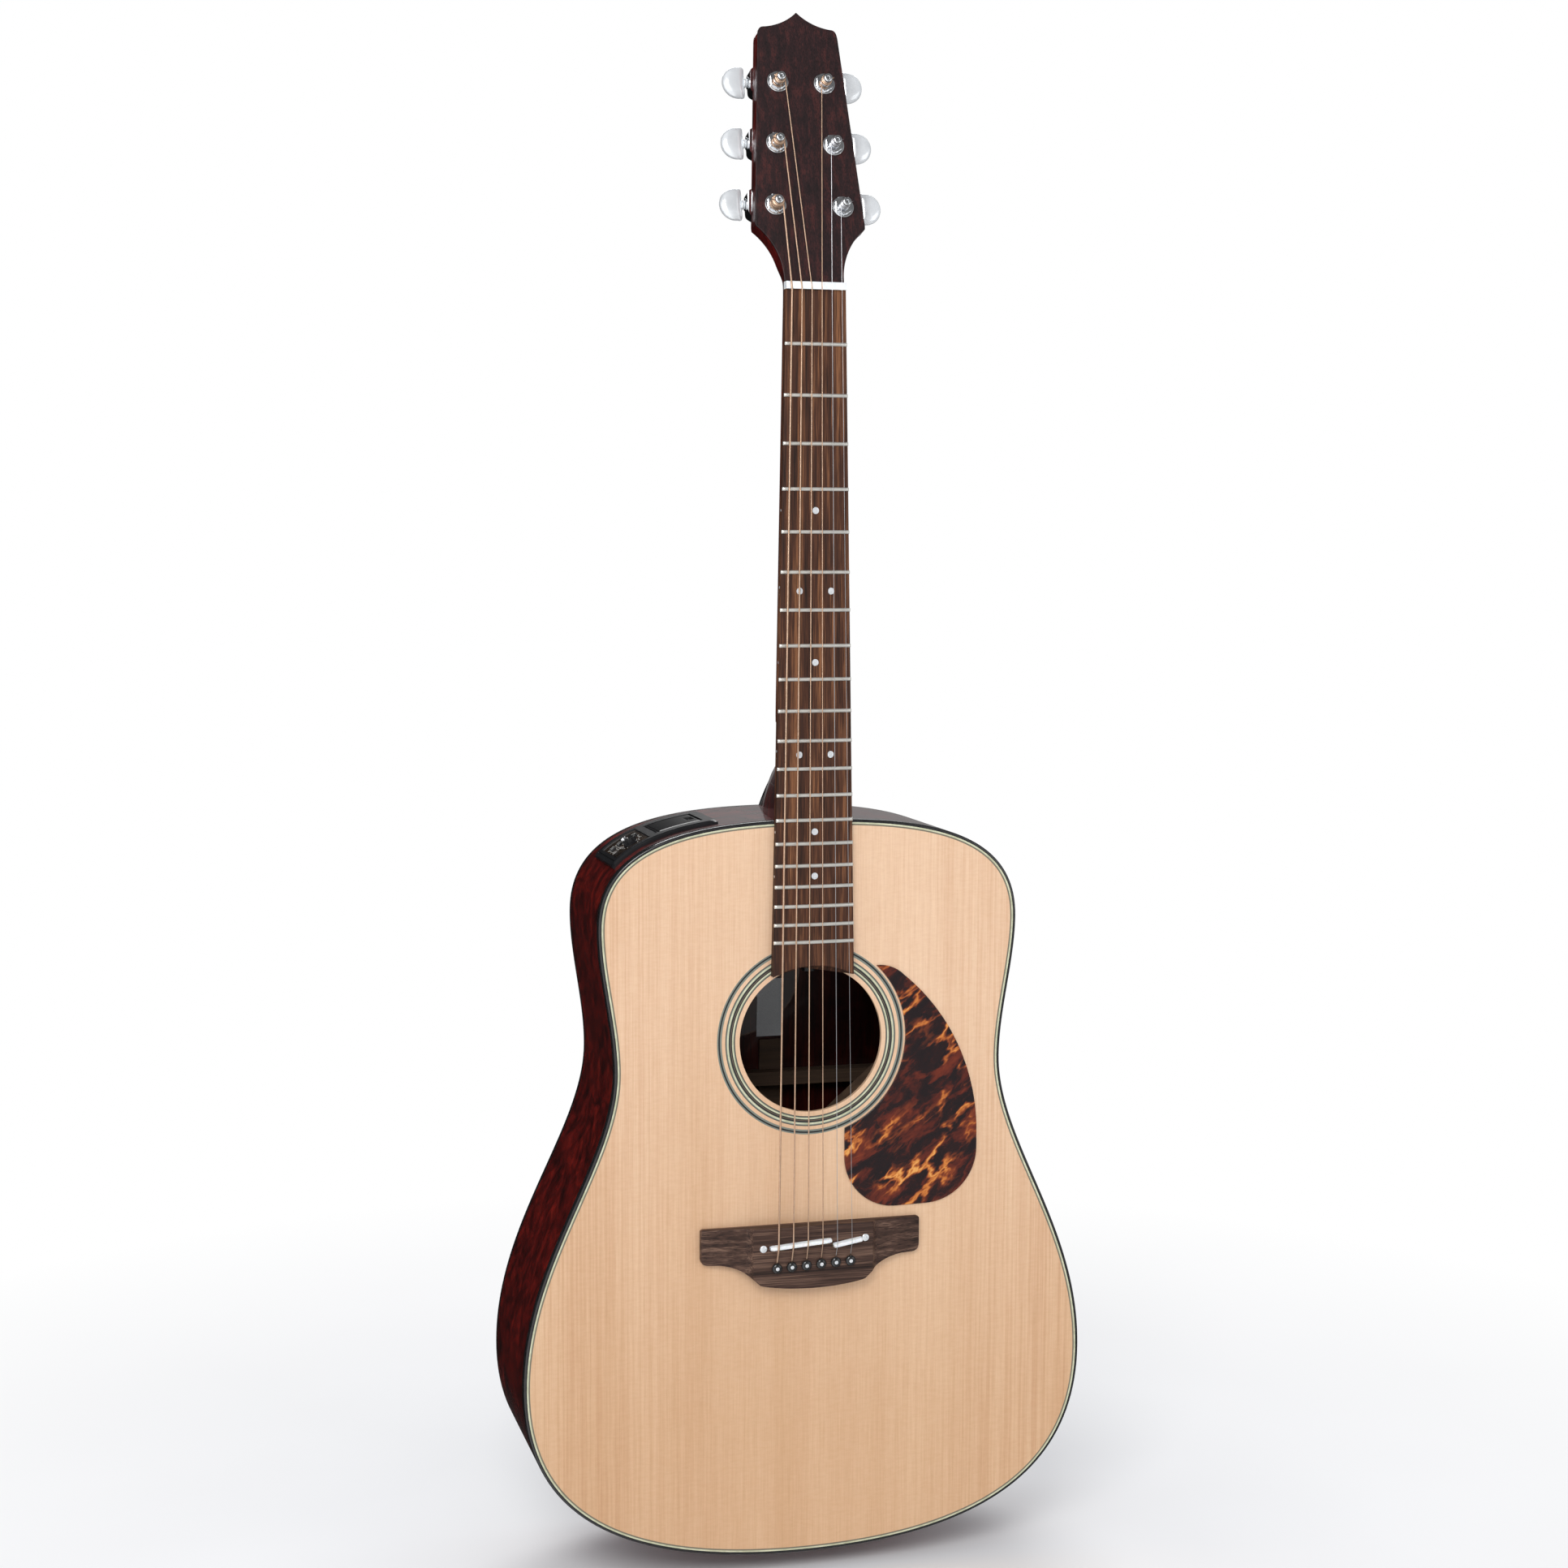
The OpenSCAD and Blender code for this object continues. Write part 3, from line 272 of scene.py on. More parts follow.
def tube(path, radius, sides=10):
    """A round bar along a path of points."""
    path = [Vector(p) for p in path]
    rings = []
    normal = None
    for i, p in enumerate(path):
        tangent = (path[min(i + 1, len(path) - 1)] - path[max(i - 1, 0)]).normalized()
        if normal is None:
            normal = tangent.orthogonal()
        normal = (normal - tangent * normal.dot(tangent)).normalized()
        side = tangent.cross(normal)
        rings.append([p + radius * (math.cos(TAU * j / sides) * normal + math.sin(TAU * j / sides) * side)
                      for j in range(sides)])
    return loft(rings)


def plate(outline, near, far, holes=()):
    """A flat piece with an outline and holes of (u, v) points; near and far place its two faces."""
    loops = [list(outline)] + [list(h) for h in holes]
    flat = [p for loop in loops for p in loop]
    n = len(flat)
    points = [near(u, v) for u, v in flat] + [far(u, v) for u, v in flat]
    if holes:
        caps = tessellate_polygon([[Vector((u, v, 0)) for u, v in loop] for loop in loops])
    else:
        caps = [tuple(range(n))]
    faces = [tuple(c) for c in caps] + [tuple(i + n for i in reversed(c)) for c in caps]
    start = 0
    for loop in loops:
        m = len(loop)
        faces += [(start + j, start + (j + 1) % m, start + n + (j + 1) % m, start + n + j)
                  for j in range(m)]
        start += m
    return points, faces


def slab(outline, y0, y1, place=Matrix(), holes=()):
    """An outline in the local X-Z plane, given thickness from y0 to y1."""
    return plate(outline, lambda u, v: place @ Vector((u, y0, v)),
                 lambda u, v: place @ Vector((u, y1, v)), holes)


def block(x0, x1, y0, y1, z0, z1, place=Matrix()):
    return slab([(x0, z0), (x1, z0), (x1, z1), (x0, z1)], y0, y1, place)


def shell(outer, inner, open_cells=()):
    """A closed shell between two grids of points; the cells named in open_cells are left out."""
    rows, cols = len(outer), len(outer[0])
    kept = {(i, j) for i in range(rows - 1) for j in range(cols - 1)} - set(open_cells)
    points = [p for row in outer for p in row] + [p for row in inner for p in row]
    half = rows * cols

    def at(i, j):
        return i * cols + j

    faces = []
    for i, j in sorted(kept):
        quad = (at(i, j), at(i + 1, j), at(i + 1, j + 1), at(i, j + 1))
        faces.append(quad)
        faces.append(tuple(half + v for v in reversed(quad)))
        sides = {(i, j - 1): (at(i, j), at(i + 1, j)), (i, j + 1): (at(i + 1, j + 1), at(i, j + 1)),
                 (i - 1, j): (at(i, j + 1), at(i, j)), (i + 1, j): (at(i + 1, j), at(i + 1, j + 1))}
        for neighbour, (a, b) in sides.items():
            if neighbour not in kept:
                faces.append((b, a, half + a, half + b))
    used = sorted({v for face in faces for v in face})
    new = {v: i for i, v in enumerate(used)}
    return [points[v] for v in used], [tuple(new[v] for v in face) for face in faces]


def rim_band(profile, y_at):
    """A strip round the body's rim; profile points are (inset, depth)."""
    rings = []
    for k, s, side in rim_loop():
        ring = []
        for inset, depth in profile:
            x, z = rim_point(k, s, inset)
            ring.append((side * x, y_at(x, z, depth), z))
        rings.append(ring)
    return loft(rings, closed=True)


def ring_slab(r0, r1, y0, y1):
    """A flat ring round the sound hole."""
    place = move(0, y1, HOLE_Z) @ spin(90, "X")
    h = y1 - y0
    return turned([(r0, 0), (r0, h), (r1, h), (r1, 0)], place, sides=160, closed=True)


# ---- Material helpers ----
def linear(r, g, b):
    """A colour given as 0-255 screen values."""
    def one(c):
        c /= 255
        return c / 12.92 if c <= 0.04045 else ((c + 0.055) / 1.055) ** 2.4
    return one(r), one(g), one(b), 1.0


WHITE = linear(255, 255, 255)


def squeezed(axis, factor):
    """A pattern's scale that draws it out along one axis."""
    return [factor if i == axis else 1.0 for i in range(3)]


class Finish:
    """A material's node tree, with short calls for the nodes used here."""

    def __init__(self, name, roughness=0.5, metallic=0.0, coat=0.0, coat_roughness=0.03):
        self.material = bpy.data.materials.new(name)
        self.material.use_nodes = True
        self.tree = self.material.node_tree
        self.shader = self.tree.nodes["Principled BSDF"]
        self.set("Roughness", roughness)
        self.set("Metallic", metallic)
        self.set("Coat Weight", coat)
        self.set("Coat Roughness", coat_roughness)

    def set(self, socket, value):
        self.feed(self.shader.inputs[socket], value)

    def feed(self, socket, value):
        if isinstance(value, bpy.types.NodeSocket):
            self.tree.links.new(value, socket)
        else:
            socket.default_value = value

    def node(self, kind, inputs, **settings):
        made = self.tree.nodes.new("ShaderNode" + kind)
        for key, value in settings.items():
            setattr(made, key, value)
        for key, value in inputs.items():
            self.feed(made.inputs[key], value)
        return made

    def place(self, scale=(1, 1, 1), turn=(0, 0, 0), shift=(0, 0, 0)):
        """The object's own coordinates in metres, scaled."""
        source = self.node("TexCoord", {}).outputs["Object"]
        made = self.node("Mapping", {"Vector": source, "Scale": scale, "Rotation": turn,
                                     "Location": shift})
        return made.outputs["Vector"]

    def noise(self, where, scale=1.0, detail=4.0, rough=0.5, warp=0.0):
        made = self.node("TexNoise", {"Vector": where, "Scale": scale, "Detail": detail,
                                      "Roughness": rough, "Distortion": warp})
        return made.outputs["Fac"]

    def ramp(self, fac, *stops, ease="LINEAR"):
        """Stops are (position, colour) or (position, grey level)."""
        made = self.node("ValToRGB", {"Fac": fac})
        made.color_ramp.interpolation = ease
        points = made.color_ramp.elements
        while len(points) < len(stops):
            points.new(1.0)
        for point, (at, colour) in zip(points, stops):
            point.position = at
            point.color = colour if isinstance(colour, tuple) else (colour, colour, colour, 1)
        return made.outputs["Color"]

    def blend(self, fac, a, b, kind="MIX"):
        made = self.node("Mix", {}, data_type="RGBA", blend_type=kind)
        self.feed(made.inputs[0], fac)
        self.feed(made.inputs[6], a)
        self.feed(made.inputs[7], b)
        return made.outputs[2]

    def sum(self, operation, a, b=0.0, c=0.0):
        made = self.node("Math", {0: a, 1: b, 2: c}, operation=operation)
        return made.outputs[0]

    def radius(self, where, a, b):
        """Distance from the line through the pattern's origin that is square to axes a and b."""
        split = self.node("SeparateXYZ", {0: where}).outputs
        return self.sum("SQRT", self.sum("ADD", self.sum("MULTIPLY", split[a], split[a]),
                                         self.sum("MULTIPLY", split[b], split[b])))

    def vary_roughness(self, pattern, span, low):
        self.set("Roughness", self.sum("ADD", self.sum("MULTIPLY", pattern, span), low))

    def bump(self, height, distance, strength=1.0, socket="Normal"):
        made = self.node("Bump", {"Height": height, "Distance": distance, "Strength": strength})
        self.set(socket, made.outputs["Normal"])


def wood(name, along, dark, mid, light, fine, broad, roughness, coat=0.0, pores=0.00002):
    """Straight-grained wood; along is the axis of the grain, fine and broad are grains per metre."""
    f = Finish(name, roughness, coat=coat, coat_roughness=0.04)
    where = f.place(squeezed(along, 0.02))
    streaks = f.noise(where, broad, 5, 0.6, 0.3)
    hair = f.noise(where, fine, 3, 0.6)
    tone = f.sum("ADD", f.sum("MULTIPLY", streaks, 0.65), f.sum("MULTIPLY", hair, 0.35))
    shades = zip((0.36, 0.5, 0.64), (dark, mid, light))
    f.set("Base Color", f.ramp(tone, *[(at, linear(*shade)) for at, shade in shades]))
    f.vary_roughness(hair, 0.12, roughness - 0.06)
    f.bump(hair, pores)
    return f


def spruce():
    """Pale spruce: fine upright grain that widens to the edges, silky flecks across it, and painted shade
    towards the tail.
    """
    f = Finish("spruce_top", 0.4, coat=0.5, coat_roughness=0.12)
    split = f.node("SeparateXYZ", {0: f.place()})
    out = f.sum("ABSOLUTE", split.outputs[0])
    years = f.noise(f.place((1, 1, 0.008)), 520, 1.5, 0.5)
    hair = f.noise(f.place((1, 1, 0.02)), 1500, 2, 0.6)
    bands = f.noise(f.place((1, 1, 0.06)), 17, 3, 0.55)
    silk = f.noise(f.place((0.3, 1, 1), (0, 0.5, 0)), 520, 3, 0.6, 0.5)
    base = f.ramp(bands, (0.3, linear(229, 191, 155)), (0.5, linear(235, 199, 165)),
                  (0.7, linear(240, 206, 173)))
    # Painted shade: the top is made darker and yellower towards the tail (object z in metres), standing in
    # for the key light falling off over the lower bout.
    painted_tail_shade = f.ramp(split.outputs[2], (0.1, linear(240, 233, 221)), (0.4, WHITE))
    base = f.blend(1.0, base, painted_tail_shade, "MULTIPLY")
    grain = f.ramp(years, (0.36, linear(206, 158, 116)), (0.58, WHITE))
    fine = f.ramp(hair, (0.36, linear(222, 200, 180)), (0.6, WHITE))
    fleck = f.ramp(silk, (0.36, linear(236, 222, 208)), (0.62, WHITE))
    wide = f.ramp(out, (0.05, 0.08), (0.19, 0.27))
    colour = f.blend(wide, base, grain, "MULTIPLY")
    colour = f.blend(0.22, colour, fine, "MULTIPLY")
    colour = f.blend(0.2, colour, fleck, "MULTIPLY")
    f.set("Base Color", colour)
    f.set("Subsurface Weight", 0.04)
    f.set("Subsurface Radius", (0.004, 0.002, 0.001))
    f.bump(hair, 0.00001)
    return f.material


def mahogany(name, along, flame=1.0, deep=1.0):
    """Dark red stained wood under gloss lacquer."""
    f = Finish(name, 0.38, coat=0.8, coat_roughness=0.03)
    f.set("Specular IOR Level", 0.25)
    figure = f.noise(f.place(squeezed(along, 0.09)), 46, 5, 0.62, 1.4)
    pores = f.noise(f.place(squeezed(along, 0.02)), 900, 2, 0.5)
    mottle = f.noise(f.place(), 34, 4, 0.6, 2.2 * flame)
    colour = f.ramp(figure, (0.32, linear(58 * deep, 7, 5)), (0.5, linear(104 * deep, 13, 8)),
                    (0.68, linear(142 * deep, 26, 11)))
    shade = f.ramp(mottle, (0.36, linear(100, 76, 76)), (0.62, WHITE))
    lines = f.ramp(pores, (0.38, linear(120, 110, 110)), (0.55, WHITE))
    colour = f.blend(0.75 * flame, colour, shade, "MULTIPLY")
    colour = f.blend(0.55, colour, lines, "MULTIPLY")
    f.set("Base Color", colour)
    f.bump(pores, 0.000012)
    orange_peel = f.noise(f.place(), 160, 1, 0.4)
    f.bump(orange_peel, 0.000012, 0.6, "Coat Normal")
    return f.material


def rosewood(name, along, dark, mid, light, roughness, coat=0.0):
    """Dark wood with open pores: short darker dashes along the grain."""
    f = wood(name, along, dark, mid, light, 1500, 240, roughness, coat=coat, pores=0.00003)
    f.set("Specular IOR Level", 0.3)
    pores = f.noise(f.place(squeezed(along, 0.015)), 2300, 1, 0.5)
    colour = f.shader.inputs["Base Color"].links[0].from_socket
    dashes = f.ramp(pores, (0.36, linear(96, 84, 78)), (0.46, WHITE))
    f.set("Base Color", f.blend(0.6, colour, dashes, "MULTIPLY"))
    return f.material


def gloss_black(name, level=0.012, roughness=0.16):
    """Polished black, a touch blue."""
    f = Finish(name, roughness, coat=0.35, coat_roughness=0.05)
    wear = f.noise(f.place(), 220, 4, 0.6)
    low, high = ((v, v, v * 1.05, 1.0) for v in (level * 0.8, level * 1.5))
    f.set("Base Color", f.ramp(wear, (0.3, low), (0.7, high)))
    f.vary_roughness(wear, 0.10, roughness - 0.04)
    f.bump(wear, 0.000008)
    return f.material


def moulded_black(name):
    """Satin black plastic with a fine moulded grain."""
    f = Finish(name, 0.34, coat=0.12, coat_roughness=0.12)
    f.set("Specular IOR Level", 0.25)
    grain = f.noise(f.place(), 2600, 2, 0.6)
    tone = f.noise(f.place(), 60, 3, 0.5)
    f.set("Base Color", f.ramp(tone, (0.3, (0.008, 0.008, 0.009, 1)), (0.7, (0.016, 0.016, 0.018, 1))))
    f.vary_roughness(grain, 0.14, 0.24)
    f.bump(grain, 0.00001)
    return f.material


def metal(name, colour, roughness, grain=700, depth=0.000003, brushed=None, mix=1.0):
    """Metal with fine marks, drawn out along the brushed axis if there is one."""
    f = Finish(name, roughness, metallic=mix)
    marks = f.noise(f.place(squeezed(brushed, 0.03)), grain, 3, 0.6)
    dull = f.noise(f.place(), 90, 3, 0.5)
    darker = tuple(c * 0.86 for c in colour) + (1.0,)
    f.set("Base Color", f.ramp(dull, (0.3, darker), (0.6, tuple(colour) + (1.0,))))
    f.vary_roughness(marks, 0.10, roughness - 0.04)
    f.bump(marks, depth)
    return f.material


def pale(name, low, high, roughness=0.28, soft=0.12, scale=120):
    """Bone, pearl or cream plastic: pale, a little cloudy and translucent."""
    f = Finish(name, roughness, coat=0.4, coat_roughness=0.06)
    cloud = f.noise(f.place(), scale, 4, 0.6, 0.8)
    f.set("Base Color", f.ramp(cloud, (0.32, low), (0.68, high)))
    f.set("Subsurface Weight", soft)
    f.set("Subsurface Radius", (0.0012, 0.0009, 0.0006))
    f.bump(cloud, 0.000006)
    return f.material


def pearl():
    f = Finish("pearl_dot", 0.16, coat=1.0, coat_roughness=0.03)
    folds = f.noise(f.place(), 520, 3, 0.6, 2.5)
    f.set("Base Color", f.ramp(folds, (0.3, linear(178, 190, 200)), (0.5, linear(236, 240, 240)),
                               (0.7, linear(214, 206, 216))))
    f.set("Metallic", 0.25)
    f.bump(folds, 0.00001)
    return f.material


def tortoise():
    """Near-black blobs in red-brown clouds, with amber veins that run up to the right."""
    f = Finish("tortoise", 0.2, coat=0.4, coat_roughness=0.03)
    f.set("Specular IOR Level", 0.3)
    turned_way = f.place((1, 1, 1), (0, math.radians(40), 0), (0.31, 0, 0.14))
    where = f.node("VectorMath", {0: turned_way, 1: (0.5, 1, 1.2)}, operation="MULTIPLY").outputs[0]
    swirl = f.node("TexNoise", {"Vector": where, "Scale": 38.0, "Detail": 4.0, "Roughness": 0.62})
    push = f.node("VectorMath", {0: swirl.outputs["Color"], "Scale": 0.034}, operation="SCALE").outputs[0]
    bent = f.node("VectorMath", {0: where, 1: push}, operation="ADD").outputs[0]
    clouds = f.noise(bent, 58, 4, 0.6, 0.4)
    cells = f.node("TexVoronoi", {"Vector": bent, "Scale": 62}, feature="DISTANCE_TO_EDGE")
    veins = cells.outputs["Distance"]
    patches = f.noise(bent, 40, 2, 0.5)
    body = f.ramp(clouds, (0.41, linear(28, 16, 19)), (0.49, linear(42, 18, 18)),
                  (0.55, linear(78, 28, 20)), (0.70, linear(118, 46, 26)))
    glow = f.sum("MULTIPLY", f.sum("MAXIMUM", f.sum("SUBTRACT", 1.0, f.sum("MULTIPLY", veins, 6.0)), 0.0),
                 f.ramp(patches, (0.44, 0.05), (0.61, 1.0)))
    amber = f.ramp(glow, (0.1, linear(88, 36, 24)), (0.45, linear(150, 70, 32)),
                   (0.75, linear(206, 124, 56)), (1.0, linear(232, 170, 92)))
    mask = f.ramp(glow, (0.12, 0.0), (0.6, 1.0))
    f.set("Base Color", f.blend(mask, body, amber))
    f.bump(clouds, 0.000006)
    return f.material


def wound(name, colour, pitch):
    """Wire wrapped round a core: ridges along the string's length, which runs near Z."""
    f = Finish(name, 0.34, metallic=0.9)
    waves = f.node("TexWave", {"Vector": f.place(), "Scale": 1 / pitch / 3.14, "Detail": 0.0},
                   bands_direction="Z")
    height = waves.outputs["Fac"]
    tone = f.noise(f.place(), 300, 2, 0.5)
    dark = tuple(c * 0.55 for c in colour) + (1.0,)
    # Painted shade: the troughs between the wraps are darkened to 0.55 of the wire's colour.
    shade = f.ramp(height, (0.0, dark), (0.6, tuple(colour) + (1.0,)))
    worn = f.ramp(tone, (0.3, linear(225, 215, 205)), (0.7, WHITE))
    f.set("Base Color", f.blend(0.6, shade, worn, "MULTIPLY"))
    f.bump(height, 0.00003)
    return f.material


def rosette_black():
    """The rosette's dark rings: fine lines at set distances from the sound hole's edge, in mm."""
    f = Finish("dark_inlay", 0.3, coat=0.6, coat_roughness=0.08)
    radius = f.radius(f.place(shift=(0, 0, -HOLE_Z * MM)), 0, 2)
    span = 18.0
    out = f.sum("DIVIDE", f.sum("SUBTRACT", radius, HOLE_R * MM), span * MM)
    black, soot, olive = linear(24, 28, 30), linear(62, 64, 58), linear(100, 104, 94)
    grey, tan, line = linear(126, 132, 122), linear(116, 98, 82), linear(120, 114, 96)
    edges = [(0, soot), (3.5, olive), (5.2, black), (6.1, tan), (6.5, black), (7.2, soot), (8.0, grey),
             (9.4, olive), (9.9, soot), (11, grey), (13.9, black), (15.0, grey), (17, line)]
    f.set("Base Color", f.ramp(out, *[(r / span, c) for r, c in edges], ease="CONSTANT"))
    fibre = f.noise(f.place(), 900, 2, 0.5)
    f.bump(fibre, 0.000008)
    return f.material


def paper():
    f = Finish("label_paper", 0.85)
    fibre = f.noise(f.place(), 1800, 5, 0.7)
    f.set("Base Color", f.ramp(fibre, (0.3, linear(176, 178, 180)), (0.7, linear(206, 207, 206))))
    f.bump(fibre, 0.00002)
    return f.material


def smoky_plate():
    """The preamp's control plate: glossy smoked plastic with a bronze tint."""
    f = Finish("smoked_plate", 0.18, coat=0.8, coat_roughness=0.04)
    haze = f.noise(f.place(), 45, 3, 0.5)
    f.set("Base Color", f.ramp(haze, (0.35, linear(38, 28, 22)), (0.65, linear(84, 62, 44))))
    f.set("Metallic", 0.35)
    f.bump(haze, 0.00001)
    return f.material


M = {
    "spruce": spruce(),
    "side": mahogany("mahogany_side", 0),
    "back": mahogany("mahogany_back", 2, 0.7, 0.55),
    "neck": mahogany("mahogany_neck", 2, 0.45, 0.95),
    "board": rosewood("rosewood_board", 2, (34, 18, 11), (78, 44, 27), (142, 94, 60), 0.55),
    "bridge": rosewood("rosewood_bridge", 0, (36, 22, 16), (72, 50, 41), (124, 96, 80), 0.56),
    "veneer": rosewood("rosewood_veneer", 2, (26, 14, 16), (42, 21, 23), (72, 32, 30), 0.45, 0.2),
    "binding": gloss_black("black_binding"),
    "black": moulded_black("moulded_black"),
    "gloss": gloss_black("piano_black", 0.01, 0.08),
    "pin": gloss_black("pin_black", 0.01, 0.1),
    "cream": pale("cream_plastic", linear(184, 186, 154), linear(220, 220, 190)),
    "inlay": rosette_black(),
    "bone": pale("bone", linear(232, 236, 238), linear(250, 252, 252), soft=0.2, scale=260),
    "pearl": pearl(),
    "chrome": metal("chrome", (0.86, 0.88, 0.91), 0.07, 300, 0.0000015),
    # The tuner buttons' chrome is about two thirds white diffuse colour: a painted reflection that keeps
    # them near white, as a bright soft box would.
    "chrome_painted_reflection": metal("button_chrome_painted_reflection", (0.95, 0.98, 1.0), 0.14, 300, 0.0000015, mix=0.35),
    "steel": metal("steel", (0.62, 0.62, 0.62), 0.32, 900, 0.00001, 2),
    "fret": metal("fret_wire", (0.84, 0.82, 0.76), 0.34, 900, 0.000004, 0, mix=0.75),
    "plain": metal("plain_string", (0.56, 0.56, 0.58), 0.3, 900, 0.000002, 2),
    "wound": wound("wound_string", (0.86, 0.60, 0.43), 0.0004),
    "brass": metal("brass", (0.75, 0.55, 0.27), 0.3, 600, 0.00001),
    "tortoise": tortoise(),
    "paper": paper(),
    "plate": smoky_plate(),
    "print": pale("print_white", linear(214, 214, 208), linear(236, 236, 230), 0.5, 0.0),
    "amber": metal("print_bronze", (0.55, 0.38, 0.2), 0.35),
}
for key, name, along, *shades, fine, broad, roughness in [
        ("lining", "lining_cedar", 2, (62, 42, 26), (84, 60, 40), (104, 78, 54), 900, 120, 0.7),
        ("block", "block_mahogany", 2, (46, 26, 17), (64, 38, 26), (80, 50, 34), 1100, 140, 0.7),
        ("brace", "brace_spruce", 0, (56, 40, 27), (72, 53, 37), (88, 67, 48), 900, 120, 0.75),
        ("maple", "maple_plate", 0, (190, 152, 106), (210, 176, 130), (226, 196, 154), 900, 160, 0.7)]:
    M[key] = wood(name, along, *shades, fine, broad, roughness).material


# ---- Body ----
def soundboard():
    """A flat plate inside the purfling, with the round hole."""
    outline = []
    for k, s, side in rim_loop():
        x, z = rim_point(k, s, SIDE_T + CREAM_W + DARK_W)
        outline.append((side * x, z))
    hole = [(x, z) for x, z in arc(0, HOLE_Z, HOLE_R, 0, 360, 160)][:-1]
    make("soundboard_plate", slab(outline, TOP_Y, TOP_Y + TOP_T, holes=[hole]), "spruce",
         node="soundboard")


# Inlays stand a hair proud of the soundboard and reach a little into it
PROUD = 0.05
INLAY_DEPTH = 1.2
# The binding's section, (inset, depth), with its outer corner rounded
EDGE = [(SIDE_T, 0), (1.3, 0), (0.8, 0.12), (0.38, 0.38), (0.12, 0.8), (0, 1.3), (0, BINDING_H),
        (SIDE_T, BINDING_H)]


def purfling(name, look, node, inset, width):
    """A flat line set in the soundboard beside the binding."""
    ends = inset, inset + width
    profile = [(ends[0], -PROUD), (ends[1], -PROUD), (ends[1], INLAY_DEPTH), (ends[0], INLAY_DEPTH)]
    make(name, rim_band(profile, top_at), look, node=node)


def trim():
    """Bindings on both edges of the body and the two lines beside the front one."""
    make("top_binding_strip", rim_band(EDGE, top_at), "binding", node="top_binding")
    make("back_binding_strip", rim_band(EDGE, back_y), "binding", node="back_binding")
    purfling("cream_purfling", "cream", "cream_inlays", SIDE_T, CREAM_W)
    purfling("dark_purfling", "inlay", "dark_inlays", SIDE_T + CREAM_W, DARK_W)


# The rosette's rings: inner and outer edge, measured from the sound hole's
ROSETTE = [("cream", "cream", [(4.3, 5.4), (7.8, 9)]),
           ("dark", "inlay", [(3.2, 4.3), (5.4, 7.8), (9, 10.2), (12.7, 16)])]


def rosette():
    for colour, look, rings in ROSETTE:
        for i, (r0, r1) in enumerate(rings):
            ring = ring_slab(HOLE_R + r0, HOLE_R + r1, TOP_Y - PROUD, TOP_Y + INLAY_DEPTH)
            make(f"{colour}_rosette_ring_{i + 1}", ring, look)


PANEL_S0 = 6 / 22
PANEL_S1 = 16 / 22
PANEL_Y0 = TOP_Y + 15
PANEL_Y1 = PANEL_Y0 + 60
PANEL_WALL = 5


def side_shell(side, window):
    """One bent side; window = (s0, s1, y0, y1) is the opening for the preamp, on the last curve."""
    stations = rim_half()
    rows = [TOP_Y + BINDING_H, -51, -38, -25, -12, 0, 10]
    if window:
        stations = [(k, s) for k, s in stations if k < 3] + [
            (3, s) for s in sorted({s for k, s in stations if k == 3} | set(window[:2]))]
        rows = [TOP_Y + BINDING_H, -51, window[2], -31, -19, -7, window[3], 12]
    split = len(rows)
    grids = []
    for inset in (0.0, SIDE_T):
        grid = []
        for k, s in stations:
            x, z = rim_point(k, s, inset)
            end = back_y(*rim_point(k, s, 0.0), BINDING_H)
            fixed = [(side * x, y, z) for y in rows]
            free = [(side * x, lerp(rows[-1], end, j / 4), z) for j in range(1, 5)]
            grid.append(fixed + free)
        grids.append(grid)
    skip = []
    if window:
        for i, (k, s) in enumerate(stations[:-1]):
            if k == 3 and window[0] - 1e-6 <= s < window[1] - 1e-6:
                skip += [(i, j) for j in range(2, split - 2)]
    return shell(grids[0], grids[1], skip)


def sides():
    window = (PANEL_S0 + 0.02, PANEL_S1 - 0.02, PANEL_Y0 + PANEL_WALL, PANEL_Y1 - PANEL_WALL)
    make("bass_side_shell", side_shell(-1, window), "side", node="bass_side")
    make("treble_side_shell", side_shell(1, None), "side", node="treble_side")


def back_plate():
    """The arched back, built across the body between the two bindings."""
    columns = 28
    grids = []
    for depth in (0.0, BACK_T):
        grid = []
        for k, s in rim_half():
            x, z = rim_point(k, s, SIDE_T)
            xs = [lerp(-x, x, j / columns) for j in range(columns + 1)]
            grid.append([(u, back_y(u, z, depth), z) for u in xs])
        grids.append(grid)
    make("arched_back", shell(grids[0], grids[1]), "back", node="back")


# ---- Neck ----
HEEL_DEPTH = 98
HEEL_Z = 22
HEEL_TAPER, HEEL_RAKE, HEEL_FLAT = 15.7, 19.8, 35
HEEL_SIDE = [(26.4, 12), (26, 40), (17, 72), (12, HEEL_DEPTH + 1)]
HEEL_CURVE = [(HEEL_DEPTH, HEEL_Z), (94, 29), (30, 29), (17.2, 72)]
# The shaft's depth below the fingerboard at the body and at the nut, and how square its oval is
SHAFT_D0 = 17.5
SHAFT_D1 = 14.5
SHAFT_POWER = 2.15
HEAD_ROUND = 4


def board_half(z):
    return NUT_HALF + (TWELFTH_HALF - NUT_HALF) * 2 / SCALE * (NUT_Z - z)


def heel_half(y):
    """Half the heel's width, seen from the front, at a depth behind the fingerboard."""
    if y < 12:
        return lerp(26.6, 26, y / 12)
    low, high = 0.0, 1.0
    for _ in range(30):
        mid = (low + high) / 2
        if bezier(HEEL_SIDE, mid).y < y:
            low = mid
        else:
            high = mid
    return bezier(HEEL_SIDE, low).x


def heel_flank(y, z):
    """Half the width between the heel's two leaning sides, at a depth and a height above the body."""
    taper, rake = math.radians(HEEL_TAPER), math.radians(HEEL_RAKE)
    reach = HEEL_FLAT - math.cos(rake) * math.sin(taper) * y - math.sin(rake) * z
    return max(reach / (math.cos(rake) * math.cos(taper)), 0.4)


